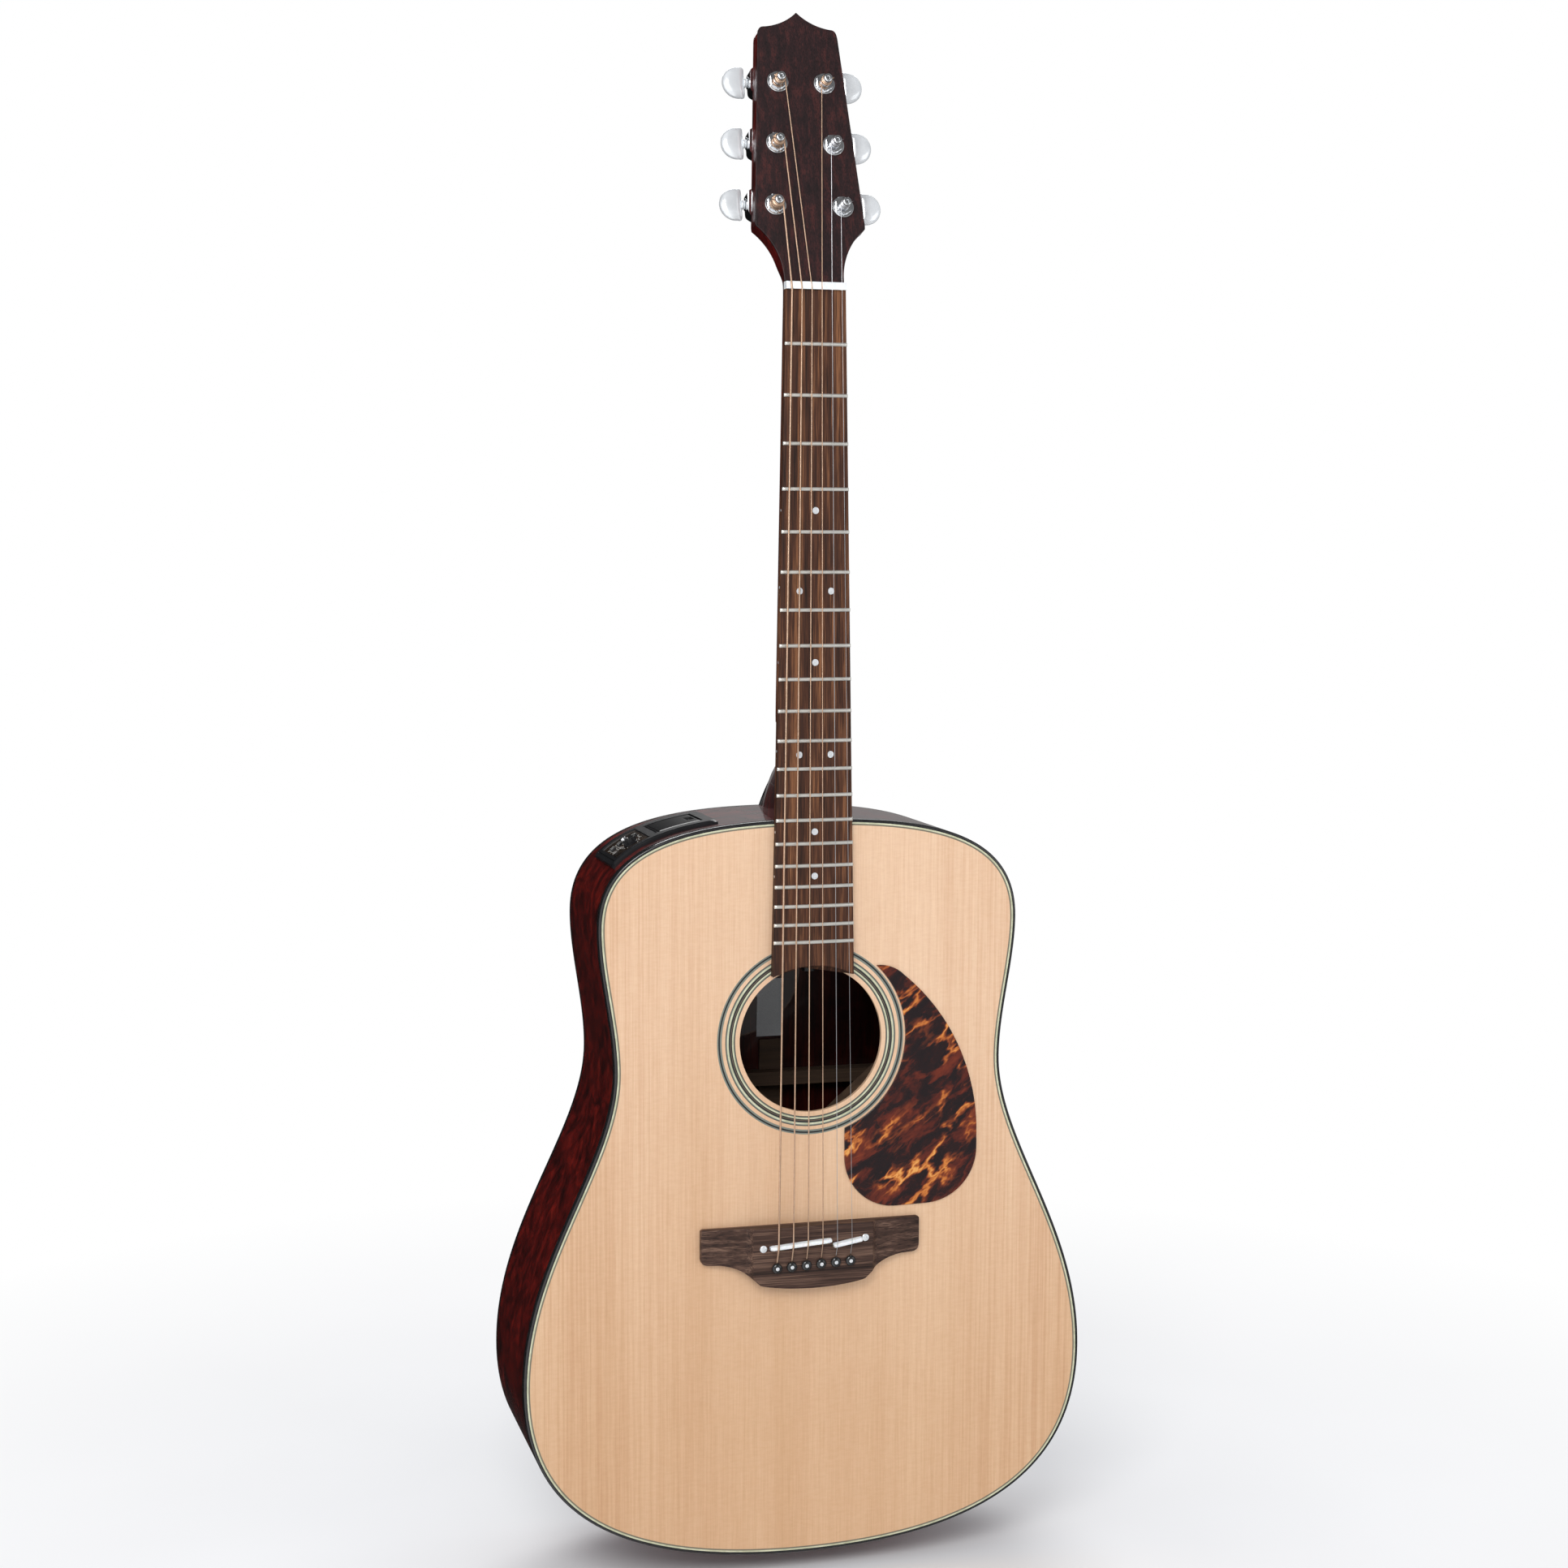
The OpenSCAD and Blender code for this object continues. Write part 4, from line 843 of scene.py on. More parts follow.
def trimmed(ring, z):
    """A section of the heel, narrowed softly to stay between the leaning sides."""
    made = []
    for x, y in ring:
        limit = heel_flank(y, z)
        w = (max(abs(x), 0.001) ** -9 + limit ** -9) ** (-1 / 9)
        made.append((math.copysign(w, x), y))
    return made


def round_section(half, depth, power, heel, tip):
    """The back of the neck as a half-oval from +half to -half; heel 1 follows the heel's sides."""
    count = 40
    ring = []
    for i in range(count + 1):
        a = math.pi * i / count
        c, s = math.cos(a), math.sin(a)
        y = depth * abs(s) ** (2 / power)
        w = lerp(half, heel_half(min(y, HEEL_DEPTH)), heel)
        w *= 1 - tip * (y / HEEL_DEPTH) ** 5
        ring.append((math.copysign(w * abs(c) ** (2 / power), c), y))
    return ring


def square_section(half, depth, r):
    """The back of the headstock as a rectangle with rounded corners, with as many points."""
    r = min(r, half * 0.9, depth * 0.4)
    ring = [(half, lerp(0, depth - r, i / 8)) for i in range(8)]
    ring += [(half - r + x, depth - r + y) for x, y in arc(0, 0, r, 0, 90, 5)]
    ring += [(lerp(half - r, -half + r, i / 14), depth) for i in range(1, 14)]
    ring += [(-half + r + x, depth - r + y) for x, y in arc(0, 0, r, 90, 180, 5)]
    ring += [(-half, lerp(depth - r, 0, i / 8)) for i in range(1, 9)]
    return ring


def head_outline():
    """The headstock's half outline, from the nut to its tip: (half width, distance from the nut)."""
    start = [(NUT_HALF, 0)] + arc(NUT_HALF + 47.9, 2, 47.9, 180, 129.4, 16)
    straight = [(38.6, 41.5)] + [(lerp(38.6, 28.6, i / 10), lerp(41.5, HEAD_LEN - 20, i / 10))
                                 for i in range(1, 10)]
    shoulder = curve([(28.6, HEAD_LEN - 20), (28.3, HEAD_LEN - 15), (27.6, HEAD_LEN - 11.8),
                      (24.5, HEAD_LEN - 11.4)], 8)
    r, q = 39.5, math.sin(math.radians(45))
    tip = [(r * (q - math.sin(a)), HEAD_LEN + r * (q - math.cos(a)))
           for a in [math.radians(5 + 40 * i / 12) for i in range(1, 13)]]
    return start + straight + shoulder + tip


def head_half(z):
    points = head_outline()
    for (x0, z0), (x1, z1) in zip(points, points[1:]):
        if z0 <= z <= z1:
            return lerp(x0, x1, (z - z0) / max(z1 - z0, 1e-6))
    return points[-1][0]


def neck():
    """One skin over the heel, the shaft and the headstock, without the headstock's face."""
    rings = []

    def add(place, section):
        rings.append([place @ Vector((x, y, 0)) for x, y in section])

    for z in (-4, 2, 8, 12, 14, 16, 18, 19.5, 21, HEEL_Z):
        rounding = 1 - math.sqrt(max(0.0, 1 - max(0.0, (z - 12) / 10) ** 2))
        section = round_section(board_half(z), HEEL_DEPTH, 7, 1.0, 0.5 * rounding)
        add(NECK @ move(0, 0, z), trimmed(section, z))
    thin = HEEL_CURVE[-1][0]
    for depth, z in curve(HEEL_CURVE, 24)[1:]:
        power = lerp(SHAFT_POWER, 5.5, smooth((depth - SHAFT_D0) / 45))
        section = round_section(board_half(z), depth, power, smooth((depth - thin) / 14), 0.5)
        add(NECK @ move(0, 0, z), trimmed(section, lerp(0, z, smooth((depth - thin) / 6))))
    z = 84.0
    bend0, bend1 = NUT_Z - 14, NUT_Z + NUT_T + 16
    while z < bend0:
        depth = lerp(SHAFT_D0, SHAFT_D1, z / NUT_Z)
        add(NECK @ move(0, 0, z), round_section(board_half(z), depth, SHAFT_POWER, 0, 0))
        z += 12
    joint = NUT_Z + NUT_T - 0.4
    steps = 14
    for i in range(steps + 1):
        t = i / steps
        z = lerp(bend0, bend1, t)
        if z <= joint:
            centre = NECK @ Vector((0, 0, z))
            half = board_half(min(z, NUT_Z))
        else:
            centre = HEAD @ Vector((0, VENEER_T, z - joint))
            half = head_half(z - joint)
        place = move(*centre) @ spin(-NECK_TILT - HEAD_TILT * smooth(t), "X")
        depth = lerp(SHAFT_D1 + 0.1, HEAD_T - VENEER_T, smooth(t * 1.2))
        round_ring = round_section(half, depth, SHAFT_POWER, 0, 0)
        square_ring = square_section(half, depth, HEAD_ROUND)
        q = smooth((t - 0.15) / 0.85)
        add(place, [(lerp(a[0], b[0], q), lerp(a[1], b[1], q)) for a, b in zip(round_ring, square_ring)])
    for half, z in head_outline():
        if z > bend1 - joint + 1:
            add(HEAD @ move(0, VENEER_T, z),
                square_section(max(half, 0.05), HEAD_T - VENEER_T, HEAD_ROUND))
    make("neck_shaft_and_head", loft(rings), "neck", node="neck", angle=32)


def heel_cap():
    half = 10.8
    edge = curve([(half, 0), (8.2, 7.5), (5.2, 14), (1.2, HEEL_Z - 0.5)], 16)
    outline = [(-half, -1.5), (half, -1.5)] + edge + [(-x, z) for x, z in reversed(edge)]
    make("heel_cap_plate", slab(outline, HEEL_DEPTH - 0.2, HEEL_DEPTH + 3.8, move(0, TOP_Y, BODY_LEN)),
         "gloss", node="heel_cap", bevel=1.2)


def veneer():
    half = [(x - 0.05, z) for x, z in head_outline() if z >= 1.0]
    outline = half + [(-x, z) for x, z in reversed(half[:-1])]
    outline = [(NUT_HALF - 0.05, 0.5)] + outline + [(-NUT_HALF + 0.05, 0.5)]
    make("headstock_face", slab(outline, 0.02, VENEER_T, HEAD), "veneer", node="headstock_veneer",
         bevel=0.45, segments=2, angle=50)


def crown(x):
    """How far the fingerboard's rounded face lies below its centre line."""
    return x * x / (2 * BOARD_R)


def board_end(x):
    r = HOLE_R + 1.5
    return HOLE_Z - BODY_LEN + math.sqrt(r * r - x * x)


def fingerboard():
    """A grid from the sound hole to the nut, with a crowned face and eased playing edges."""
    across = [-1 + 2 * i / 24 for i in range(25)]
    rings = []
    steps = 70
    for i in range(steps + 1):
        t = i / steps
        face, under = [], []
        for f in across:
            z = lerp(board_end(f * TWELFTH_HALF), NUT_Z, t)
            x = f * (board_half(z) - 0.35)
            face.append((x, -BOARD_T + crown(x) + (0.12 if abs(f) == 1 else 0), z))
            under.append((f * board_half(z), max(0.0, -z * math.tan(math.radians(NECK_TILT))), z))
        half = board_half(z)
        edge = -BOARD_T + crown(half) + 0.5
        ring = face + [(half, edge, z)] + under[::-1] + [(-half, edge, z)]
        rings.append([NECK @ Vector(p) for p in ring])
    make("crowned_fingerboard", loft(rings), "board", node="fingerboard", angle=30)


def fret_z(n):
    return NUT_Z - SCALE * (1 - 2 ** (-n / 12))


def frets():
    """Crowned wire bent to the fingerboard's curve, with bevelled ends."""
    shapes = []
    for n in range(1, FRETS + 1):
        z = fret_z(n)
        half = board_half(z) + 0.1
        rings = []
        for x, size in [(-half, 0.55), (-half + 0.35, 0.8), (-half + 0.9, 1)] + [
                (lerp(-half + 2, half - 2, i / 14), 1) for i in range(15)] + [
                (half - 0.9, 1), (half - 0.35, 0.8), (half, 0.55)]:
            base = -BOARD_T + crown(x)
            arch = [(1.25 * math.cos(a), 1.08 * size * math.sin(a) ** 0.8) for a in
                    [math.pi * j / 10 for j in range(11)]]
            ring = [NECK @ Vector((x, base - h, z + w)) for w, h in arch]
            ring += [NECK @ Vector((x, base + 0.8, z - 0.5)), NECK @ Vector((x, base + 0.8, z + 0.5))]
            rings.append(ring)
        shapes.append(loft(rings))
    make("fret_wires", join(*shapes), "fret", node="frets", angle=50)


def dots():
    """Position dots in the fingerboard's face and along its bass edge."""
    face_dot = [(0, -0.5), (2.3, -0.5), (2.3, 0.02), (2.15, 0.06), (0, 0.09)]
    side_dot = [(0, -0.5), (0.9, -0.5), (0.9, 0.02), (0, 0.05)]
    shapes = []
    for n in (5, 7, 9, 12, 15, 17):
        z = (fret_z(n) + fret_z(n - 1)) / 2
        double = n in (7, 12)
        for x in ([-11, 11] if double else [0]):
            lean = math.atan(x / BOARD_R)
            place = (NECK @ move(x, -BOARD_T + crown(x), z) @ Matrix.Rotation(-lean, 4, "Y")
                     @ spin(90, "X"))
            shapes.append(turned(face_dot, place, 32))
        for dz in ([-2.5, 2.5] if double else [0]):
            place = (NECK @ move(-board_half(z), -BOARD_T / 2 + 0.4, z + dz)
                     @ spin(-90, "Y"))
            shapes.append(turned(side_dot, place, 20))
    make("pearl_position_dots", join(*shapes), "pearl", node="position_dots")


# ---- Strings, from the sixth (bass) to the first ----
STRING_R = [0.66, 0.53, 0.42, 0.33, 0.2, 0.15]
SADDLE_SPREAD = 53.0
NUT_SPREAD = 35.0
NUT_LIFT = 0.4
SADDLE_LIFT = 3.6
POST_Z = [54, 97.8, 141.6]
POST_X = [23.7, 20, 16.4]
POST_R = 3.0
COIL_Y = -6.2
POSTS = [(-1, 0), (-1, 1), (-1, 2), (1, 2), (1, 1), (1, 0)]


def spread(i, width):
    return width * (i / 5 - 0.5)


def pin_z(i):
    return BRIDGE_Z - 22.6 + 0.04 * spread(i, SADDLE_SPREAD)


def saddle_z(i):
    x = spread(i, SADDLE_SPREAD)
    return BRIDGE_Z + (-7.6 + 0.073 * (x + 9.5) if i < 4 else -8.2 + 0.17 * (x - 23.6))


def at_saddle(i):
    return NECK @ Vector((spread(i, SADDLE_SPREAD), -BOARD_T - FRET_H - SADDLE_LIFT - STRING_R[i],
                          saddle_z(i) - BODY_LEN))


def at_nut(i):
    return NECK @ Vector((spread(i, NUT_SPREAD), -BOARD_T - FRET_H - NUT_LIFT - STRING_R[i], NUT_Z))


def wrap_r(i):
    """Radius of the line along which the string winds round its post."""
    return POST_R + STRING_R[i] + 0.05


def at_post(i):
    side, k = POSTS[i]
    return HEAD @ Vector((side * (POST_X[k] - wrap_r(i)), COIL_Y, POST_Z[k]))


def rounded_path(points, reach):
    """The path through the points, with each corner eased over a reach."""
    path = [points[0]]
    for a, b, c in zip(points, points[1:], points[2:]):
        before = b + (a - b).normalized() * reach
        after = b + (c - b).normalized() * reach
        path += [bezier([before, lerp(before, b, 0.667), lerp(after, b, 0.667), after], t)
                 for t in (0, 0.25, 0.5, 0.75, 1)]
    return path + [points[-1]]


def strings():
    wound_set, plain_set = [], []
    for i, r in enumerate(STRING_R):
        x = spread(i, SADDLE_SPREAD)
        deep = Vector((x, TOP_Y + TOP_T + 4, pin_z(i) + 2.6))
        mouth = Vector((x, BRIDGE_Y + 2, pin_z(i) + 2.9))
        lip = Vector((x, BRIDGE_Y - 0.9, pin_z(i) + 4.3))
        path = rounded_path([deep, mouth, lip, at_saddle(i), at_nut(i), at_post(i)], 0.9)
        ball = turned([(0.5, -1.8), (1.5, -1.8), (1.8, 0), (1.5, 1.8), (0.5, 1.8)],
                      move(*deep) @ spin(90, "Y"), 20, closed=True)
        shapes = [tube(path, r, 12 if i < 4 else 8), ball]
        (wound_set if i < 4 else plain_set).extend(shapes)
    make("bronze_strings", join(*wound_set), "wound", node="wound_strings")
    make("steel_strings", join(*plain_set), "plain", node="plain_strings")


def nut():
    """Bone with a rounded back edge and a slot under each string."""
    front = [i / 5 * NUT_T for i in range(6)]
    xs = sorted({round(-NUT_HALF + 42 * i / 60, 4) for i in range(61)} | {
        round(spread(i, NUT_SPREAD) + d * r, 4) for i, r in enumerate(STRING_R)
        for d in (-1.15, -1.0, -0.7, 0, 0.7, 1.0, 1.15)})
    rings = []
    for x in xs:
        ring = []
        for z in front:
            t = z / NUT_T
            top = -BOARD_T - FRET_H - 0.95 + crown(x) * 0.6 + 1.15 * t * t
            for i, r in enumerate(STRING_R):
                off = abs(x - spread(i, NUT_SPREAD))
                if off < r * 1.1:
                    floor = -BOARD_T - FRET_H - NUT_LIFT + 1.15 * t * t
                    top = max(top, floor - r + math.sqrt(max(0.0, r * r - min(off, r) ** 2)))
            edge = 0.35 if abs(abs(x) - NUT_HALF) < 1e-6 else 0.0
            ring.append(NECK @ Vector((x, top + edge, NUT_Z + z)))
        ring += [NECK @ Vector((x, 0, NUT_Z + NUT_T)), NECK @ Vector((x, 0, NUT_Z))]
        rings.append(ring)
    make("bone_nut", loft(rings), "bone", node="nut", angle=40)


# ---- Bridge ----
BRIDGE_HALF = 79.0
BRIDGE_END_LOW = 15.5
BRIDGE_FLAT, BRIDGE_BEVEL = 43, 48
WING_H, WING_END_H = 6.3, 3.7


def bridge_low(x):
    """The bridge's lower edge below its reference line: square wings and a rounded belly."""
    x = abs(x)
    points = (curve([(0, 39.8), (13, 39.8), (26, 38.6), (36, 36.3)], 10)
              + curve([(38, 35.6), (46, 28), (52, 22.5), (66, 20.8)], 12)
              + curve([(74, 20.5), (77, 20.3), (BRIDGE_HALF, 18.8), (BRIDGE_HALF, BRIDGE_END_LOW)], 8))
    for (x0, z0), (x1, z1) in zip(points, points[1:]):
        if x0 <= x <= x1:
            return lerp(z0, z1, (x - x0) / max(x1 - x0, 1e-6))
    return BRIDGE_END_LOW


def bridge_height(x):
    """Flat in the middle, a short bevel at each side of it, then wings that thin to their ends."""
    x = abs(x)
    if x < BRIDGE_FLAT:
        return BRIDGE_H
    if x < BRIDGE_BEVEL:
        t = (x - BRIDGE_FLAT) / (BRIDGE_BEVEL - BRIDGE_FLAT)
        return lerp(BRIDGE_H, WING_H, math.sin(t * math.pi / 2))
    return lerp(WING_H, WING_END_H, (x - BRIDGE_BEVEL) / (BRIDGE_HALF - BRIDGE_BEVEL))


def bridge():
    half_xs = [0, 4, 8, 14, 20, 26, 32, 36, 38, 40, 42, 43, 44, 45, 46, 47, 48, 51, 54, 58, 62, 66, 70, 74,
               75.5, 77, 78, 78.6, BRIDGE_HALF]
    xs = [-x for x in reversed(half_xs)] + half_xs[1:]
    rings = []
    for x in xs:
        low = BRIDGE_Z - bridge_low(x)
        corner = max(0.0, abs(x) - 77)
        high = BRIDGE_Z + 4.8 - corner * corner * 0.25
        h = bridge_height(x)
        r = 1.0 if abs(x) < BRIDGE_HALF - 0.1 else 0.6
        drop = 0.0 if abs(x) < 78.5 else (abs(x) - 78.5) * 0.9
        y = TOP_Y - h + drop
        ring = [(x, TOP_Y, high), (x, y + r, high), (x, y + 0.3 * r, high - 0.3 * r), (x, y, high - r)]
        ring += [(x, y, lerp(high - r, low + r, j / 6)) for j in range(1, 6)]
        ring += [(x, y, low + r), (x, y + 0.3 * r, low + 0.3 * r), (x, y + r, low), (x, TOP_Y, low)]
        rings.append([Vector(p) for p in ring])
    make("carved_bridge", loft(rings), "bridge", node="bridge", angle=22)


# The two saddles: centre x, centre z from the bridge's line, length and lean in degrees
SADDLES = [(-9.6, -7.6, 44, 4.2), (24.3, -8.2, 21, 9.7)]


def saddles():
    """Bone strips with a rounded crest and eased ends."""
    shapes = []
    crest = at_saddle(0).y + STRING_R[0]
    for cx, cz, length, lean in SADDLES:
        place = move(cx, 0, BRIDGE_Z + cz) @ spin(-lean, "Y")
        rings = []
        for i in range(25):
            t = -1 + 2 * i / 24
            x = t * length / 2
            end = 0.9 * (1 - math.sqrt(max(0.0, 1 - max(0.0, (abs(t) - 0.94) / 0.06) ** 2)))
            profile = [(BRIDGE_Y + 4, -1.5), (crest + 1.3 + end, -1.5), (crest + 0.6 + end, -1.25),
                       (crest + 0.2 + end, -0.7), (crest + end, 0.1), (crest + 0.16 + end, 0.75),
                       (crest + 0.5 + end, 1.2), (crest + 1.0 + end, 1.5), (BRIDGE_Y + 4, 1.5)]
            rings.append([place @ Vector((x, y, z * (1 - 0.25 * end))) for y, z in profile])
        shapes.append(loft(rings))
    make("bone_saddles", join(*shapes), "bone", node="saddles", angle=40)


LARGE_DOTS = [(-36, -9.6), (37.6, -6.2)]


def pins_and_dots():
    facing = spin(90, "X")
    pins, dots_on = [], []
    for i in range(6):
        place = move(spread(i, SADDLE_SPREAD), BRIDGE_Y, pin_z(i)) @ facing
        profile = [(0, -21), (1.2, -21), (2.2, -18), (2.5, -8), (2.5, 0.05), (3.3, 0.1), (3.65, 0.5),
                   (3.7, 1.0), (3.5, 1.6), (3.0, 2.15), (2.3, 2.5), (1.35, 2.65), (1.3, 2.45), (0, 2.45)]
        pins.append(turned(profile, place, 36))
        dots_on.append(turned([(0, 2.2), (1.28, 2.2), (1.28, 2.62), (0.9, 2.78), (0, 2.88)], place, 28))
    large = [(0, -1), (2.5, -1), (2.5, 0.1), (2.1, 0.42), (1.2, 0.62), (0, 0.7)]
    for x, z in LARGE_DOTS:
        dots_on.append(turned(large, move(x, BRIDGE_Y, BRIDGE_Z + z) @ facing, 36))
    make("black_bridge_pins", join(*pins), "pin", node="bridge_pins")
    make("pearl_bridge_dots", join(*dots_on), "pearl", node="white_dots")


def pickguard():
    """A teardrop that follows the rosette's outer edge."""
    tip = curve([(66.8, 176.8), (62.5, 181), (56, 184.2), (47.6, 184.0)], 12)[1:-1]
    curves = (arc(0, HOLE_Z - BRIDGE_Z, HOLE_R + 17.3, 47, -69, 60) + arc(62, 50, 37.5, 180, 268, 26)
              + arc(84, 51, 38, 272, 358, 26) + arc(-27, 61, 149, 2, 51, 40) + tip)
    outline = [(x, BRIDGE_Z + z) for x, z in curves]
    make("tortoise_pickguard", slab(outline, TOP_Y - GUARD_T, TOP_Y + 0.01), "tortoise", node="pickguard",
         bevel=0.8, segments=3, angle=50)


# ---- Tuners ----
GEAR_Y = 20.5
WORM_Z = 7.2
BUTTON_FLAT = 17.9
BUTTON_R = 11.3
BUTTON_T = 7.0


def at_tuner(side, k):
    """A tuner's frame: local +X points away from the neck's centre line."""
    return HEAD @ move(side * POST_X[k], 0, POST_Z[k]) @ Matrix.Diagonal((side, 1, 1, 1))


def all_tuners():
    return [at_tuner(side, k) for side in (-1, 1) for k in range(3)]


def hull_ring(circles, grow, count=64):
    """The outline round several circles (x, z, r), grown or shrunk."""
    ring = []
    for i in range(count):
        a = TAU * i / count
        d = (math.cos(a), math.sin(a))
        best = max(circles, key=lambda c: c[0] * d[0] + c[1] * d[1] + c[2])
        ring.append((best[0] + (best[2] + grow) * d[0], best[1] + (best[2] + grow) * d[1]))
    return ring


def housings():
    """Die-cast cases: a rounded box with a disc on its back, a neck for the key and one screw."""
    circles = [(0, 0, 8.3), (-4, 12.6, 4), (10.8, 12.6, 4), (10.8, 1.6, 4)]
    steps = [(-1, HEAD_T), (0, HEAD_T), (0, 24.6), (-0.25, 25.6), (-0.9, 26.3), (-1.9, 26.7), (-3.6, 26.9)]
    disc = [(0, 26.6), (4.4, 26.6), (4.6, 26.9), (4.4, 27.0), (3.6, 27.0), (3.4, 26.85), (0, 26.85)]
    collar = [(1.75, 12), (4.4, 12), (4.4, 15.2), (4.0, 15.6), (1.75, 15.6)]
    screw = [(0, HEAD_T - 8), (1.3, HEAD_T - 6), (1.3, 25), (2.4, 26.4), (2.4, 26.8), (1.6, 27.5),
             (0.9, 27.75), (0, 27.8)]
    shells, caps = [], []
    for place in all_tuners():
        rings = [[place @ Vector((x, y, z)) for x, z in hull_ring(circles, grow)] for grow, y in steps]
        shells.append(loft(rings))
        shells.append(turned(disc, place @ spin(-90, "X"), 36))
        axis = place @ move(0, GEAR_Y, WORM_Z) @ spin(90, "Y")
        shells.append(turned(collar, axis, 32, closed=True))
        caps.append(turned(screw, place @ move(-5, 0, 14) @ spin(-90, "X"), 28))
    make("gear_housings", join(*shells), "chrome", node="tuner_housings", angle=30)
    make("housing_screws", join(*caps), "steel", node="tuner_screws", angle=30)


def hexagon(profile, half_flat, place, sides=48):
    """A lathe shape whose wide parts are cut to a hexagon."""
    rings = []
    for r, h in profile:
        ring = []
        for i in range(sides):
            a = TAU * i / sides
            off = (a + math.pi / 6) % (math.pi / 3) - math.pi / 6
            w = min(r, half_flat / math.cos(off)) if r > half_flat + 0.2 else r
            ring.append(place @ Vector((w * math.cos(a), w * math.sin(a), h)))
        rings.append(ring)
    return loft(rings, closed=True)


def bushings():
    """Round washers with a hexagonal nut on each."""
    washer = [(3.05, -14.8), (4.6, -14.8), (4.6, 0), (7.0, 0), (7.4, 0.3), (7.35, 0.75), (6.9, 1.08),
              (3.05, 1.1)]
    nut_profile = [(3.06, 1.0), (6.1, 1.0), (6.1, 2.5), (5.4, 3.0), (3.4, 3.05), (3.06, 2.8)]
    shapes = []
    for tuner in all_tuners():
        place = tuner @ spin(90, "X")
        shapes.append(turned(washer, place, 48, closed=True))
        shapes.append(hexagon(nut_profile, 5.3, place))
    make("post_bushings", join(*shapes), "chrome", node="tuner_bushings", angle=30)


def posts():
    """String posts with their gears' hubs, the windings and each string's cut end."""
    for i, (side, k) in enumerate(POSTS):
        number = 6 - i
        body = f"post_{number}"
        place = at_tuner(side, k) @ spin(90, "X")
        r = STRING_R[i]
        profile = [(0, -24.9), (2.0, -24.9), (2.0, -20.5), (POST_R, -20.5), (POST_R, 3.4), (2.85, 3.8),
                   (2.85, 8.2), (POST_R, 8.6), (POST_R, 10.3), (2.75, 10.75), (2.3, 11.0), (1.2, 11.0),
                   (0.9, 10.6), (0, 10.6)]
        make(f"string_post_{number}", turned(profile, place, 40), "chrome", body,
             node=f"tuner_post_{number}")
        look = "wound" if i < 4 else "plain"
        turns = 3 if i < 4 else 5
        bumps = [(2.9, -COIL_Y - (turns / 2) * 2 * r)]
        for t in range(turns):
            mid = -COIL_Y + (t - (turns - 1) / 2) * 2 * r
            bumps += [(wrap_r(i) + r * math.cos(a), mid + r * math.sin(a)) for a in
                      [math.radians(d) for d in (-72, -36, 0, 36, 72)]]
        bumps.append((2.9, -COIL_Y + (turns / 2) * 2 * r))
        make(f"string_windings_{number}", turned(bumps, place, 40, closed=True), look, body)
        end = [place @ Vector(p) for p in ((-3.4, 0, 9.5), (0, 0, 9.5), (3.6, 0.2, 9.3), (4.6, 0.9, 8.8))]
        make(f"string_end_{number}", tube(end, r * 0.9, 10), look, body)


def button_shape():
    """A half-moon button: a cushion of rings over a disc with its inner side cut flat."""
    cx = BUTTON_FLAT + 4.3
    cut = math.degrees(math.acos((BUTTON_FLAT - cx) / BUTTON_R))
    outline = arc(cx, 0, BUTTON_R, -cut + 14, cut - 14, 44)
    x_end, z_end = outline[-1]
    corner = z_end - 3.0
    upper = curve([(x_end, z_end), (x_end - 1.6, z_end + 0.75), (BUTTON_FLAT, z_end - 0.2),
                   (BUTTON_FLAT, corner)], 8)[1:]
    flat = [(BUTTON_FLAT, lerp(corner, -corner, i / 6)) for i in range(1, 6)]
    lower = [(x, -z) for x, z in reversed(upper)]
    loop = outline + upper + flat + lower
    middle = BUTTON_FLAT + 7.7
    layers = [(f, BUTTON_T / 2 * (1 - f ** 4) ** 0.5) for f in (0.0, 0.25, 0.5, 0.7, 0.83, 0.92, 0.97, 1.0)]
    rings = []
    for sign, order in ((1, layers), (-1, layers[-2::-1])):
        for f, h in order:
            rings.append([(lerp(middle, x, f), sign * h, z * f) for x, z in loop])
    return loft(rings)


def keys():
    button = button_shape()
    for i, (side, k) in enumerate(POSTS):
        number = 6 - i
        place = at_tuner(side, k) @ move(0, GEAR_Y, WORM_Z)
        axis = place @ spin(90, "Y")
        stem = [(0, 11.5), (1.6, 11.5), (1.6, 15.7), (2.9, 15.9), (3.1, 16.2), (2.9, 16.5), (1.9, 16.7),
                (1.9, 17.1), (3.3, 17.3), (3.5, 17.7), (3.3, 18.3), (0, 18.6)]
        shape = join(placed(button, place), turned(stem, axis, 32))
        make(f"key_and_button_{number}", shape, "chrome_painted_reflection", f"key_{number}",
             node=f"tuner_key_{number}", angle=50)


# ---- Preamp, on the bass side's shoulder; S values are shares of the outline's last curve ----
DOOR_S0 = 0.513
HINGE_S = 0.523
DOOR_S1 = 0.69
DOOR_Y0 = PANEL_Y0 + 10
DOOR_Y1 = PANEL_Y1 - 10
MID_Y = (PANEL_Y0 + PANEL_Y1) / 2
PANEL_PROUD = 3.0
PLATE_DEPTH = 2.0
SLIDER_S = [("bass", 0.345), ("middle", 0.38), ("treble", 0.45)]
SLIDER_Y = MID_Y + 2
KNOB_S = 0.4125
KNOB_Y = MID_Y - 12
BUTTON_Y = MID_Y + 14
MM_PER_S = 178.0
# A groove across the frame near its tail end, and the recess for the control plate
GROOVE_S0, GROOVE_S1 = PANEL_S0 + 0.026, PANEL_S0 + 0.031
PLATE_S0, PLATE_S1 = PANEL_S0 + 0.045, DOOR_S0 - 0.03
PLATE_Y0, PLATE_Y1 = PANEL_Y0 + 6, PANEL_Y1 - 6
PLATE_FACE = PLATE_DEPTH + 0.12
PRINT_H = 0.03
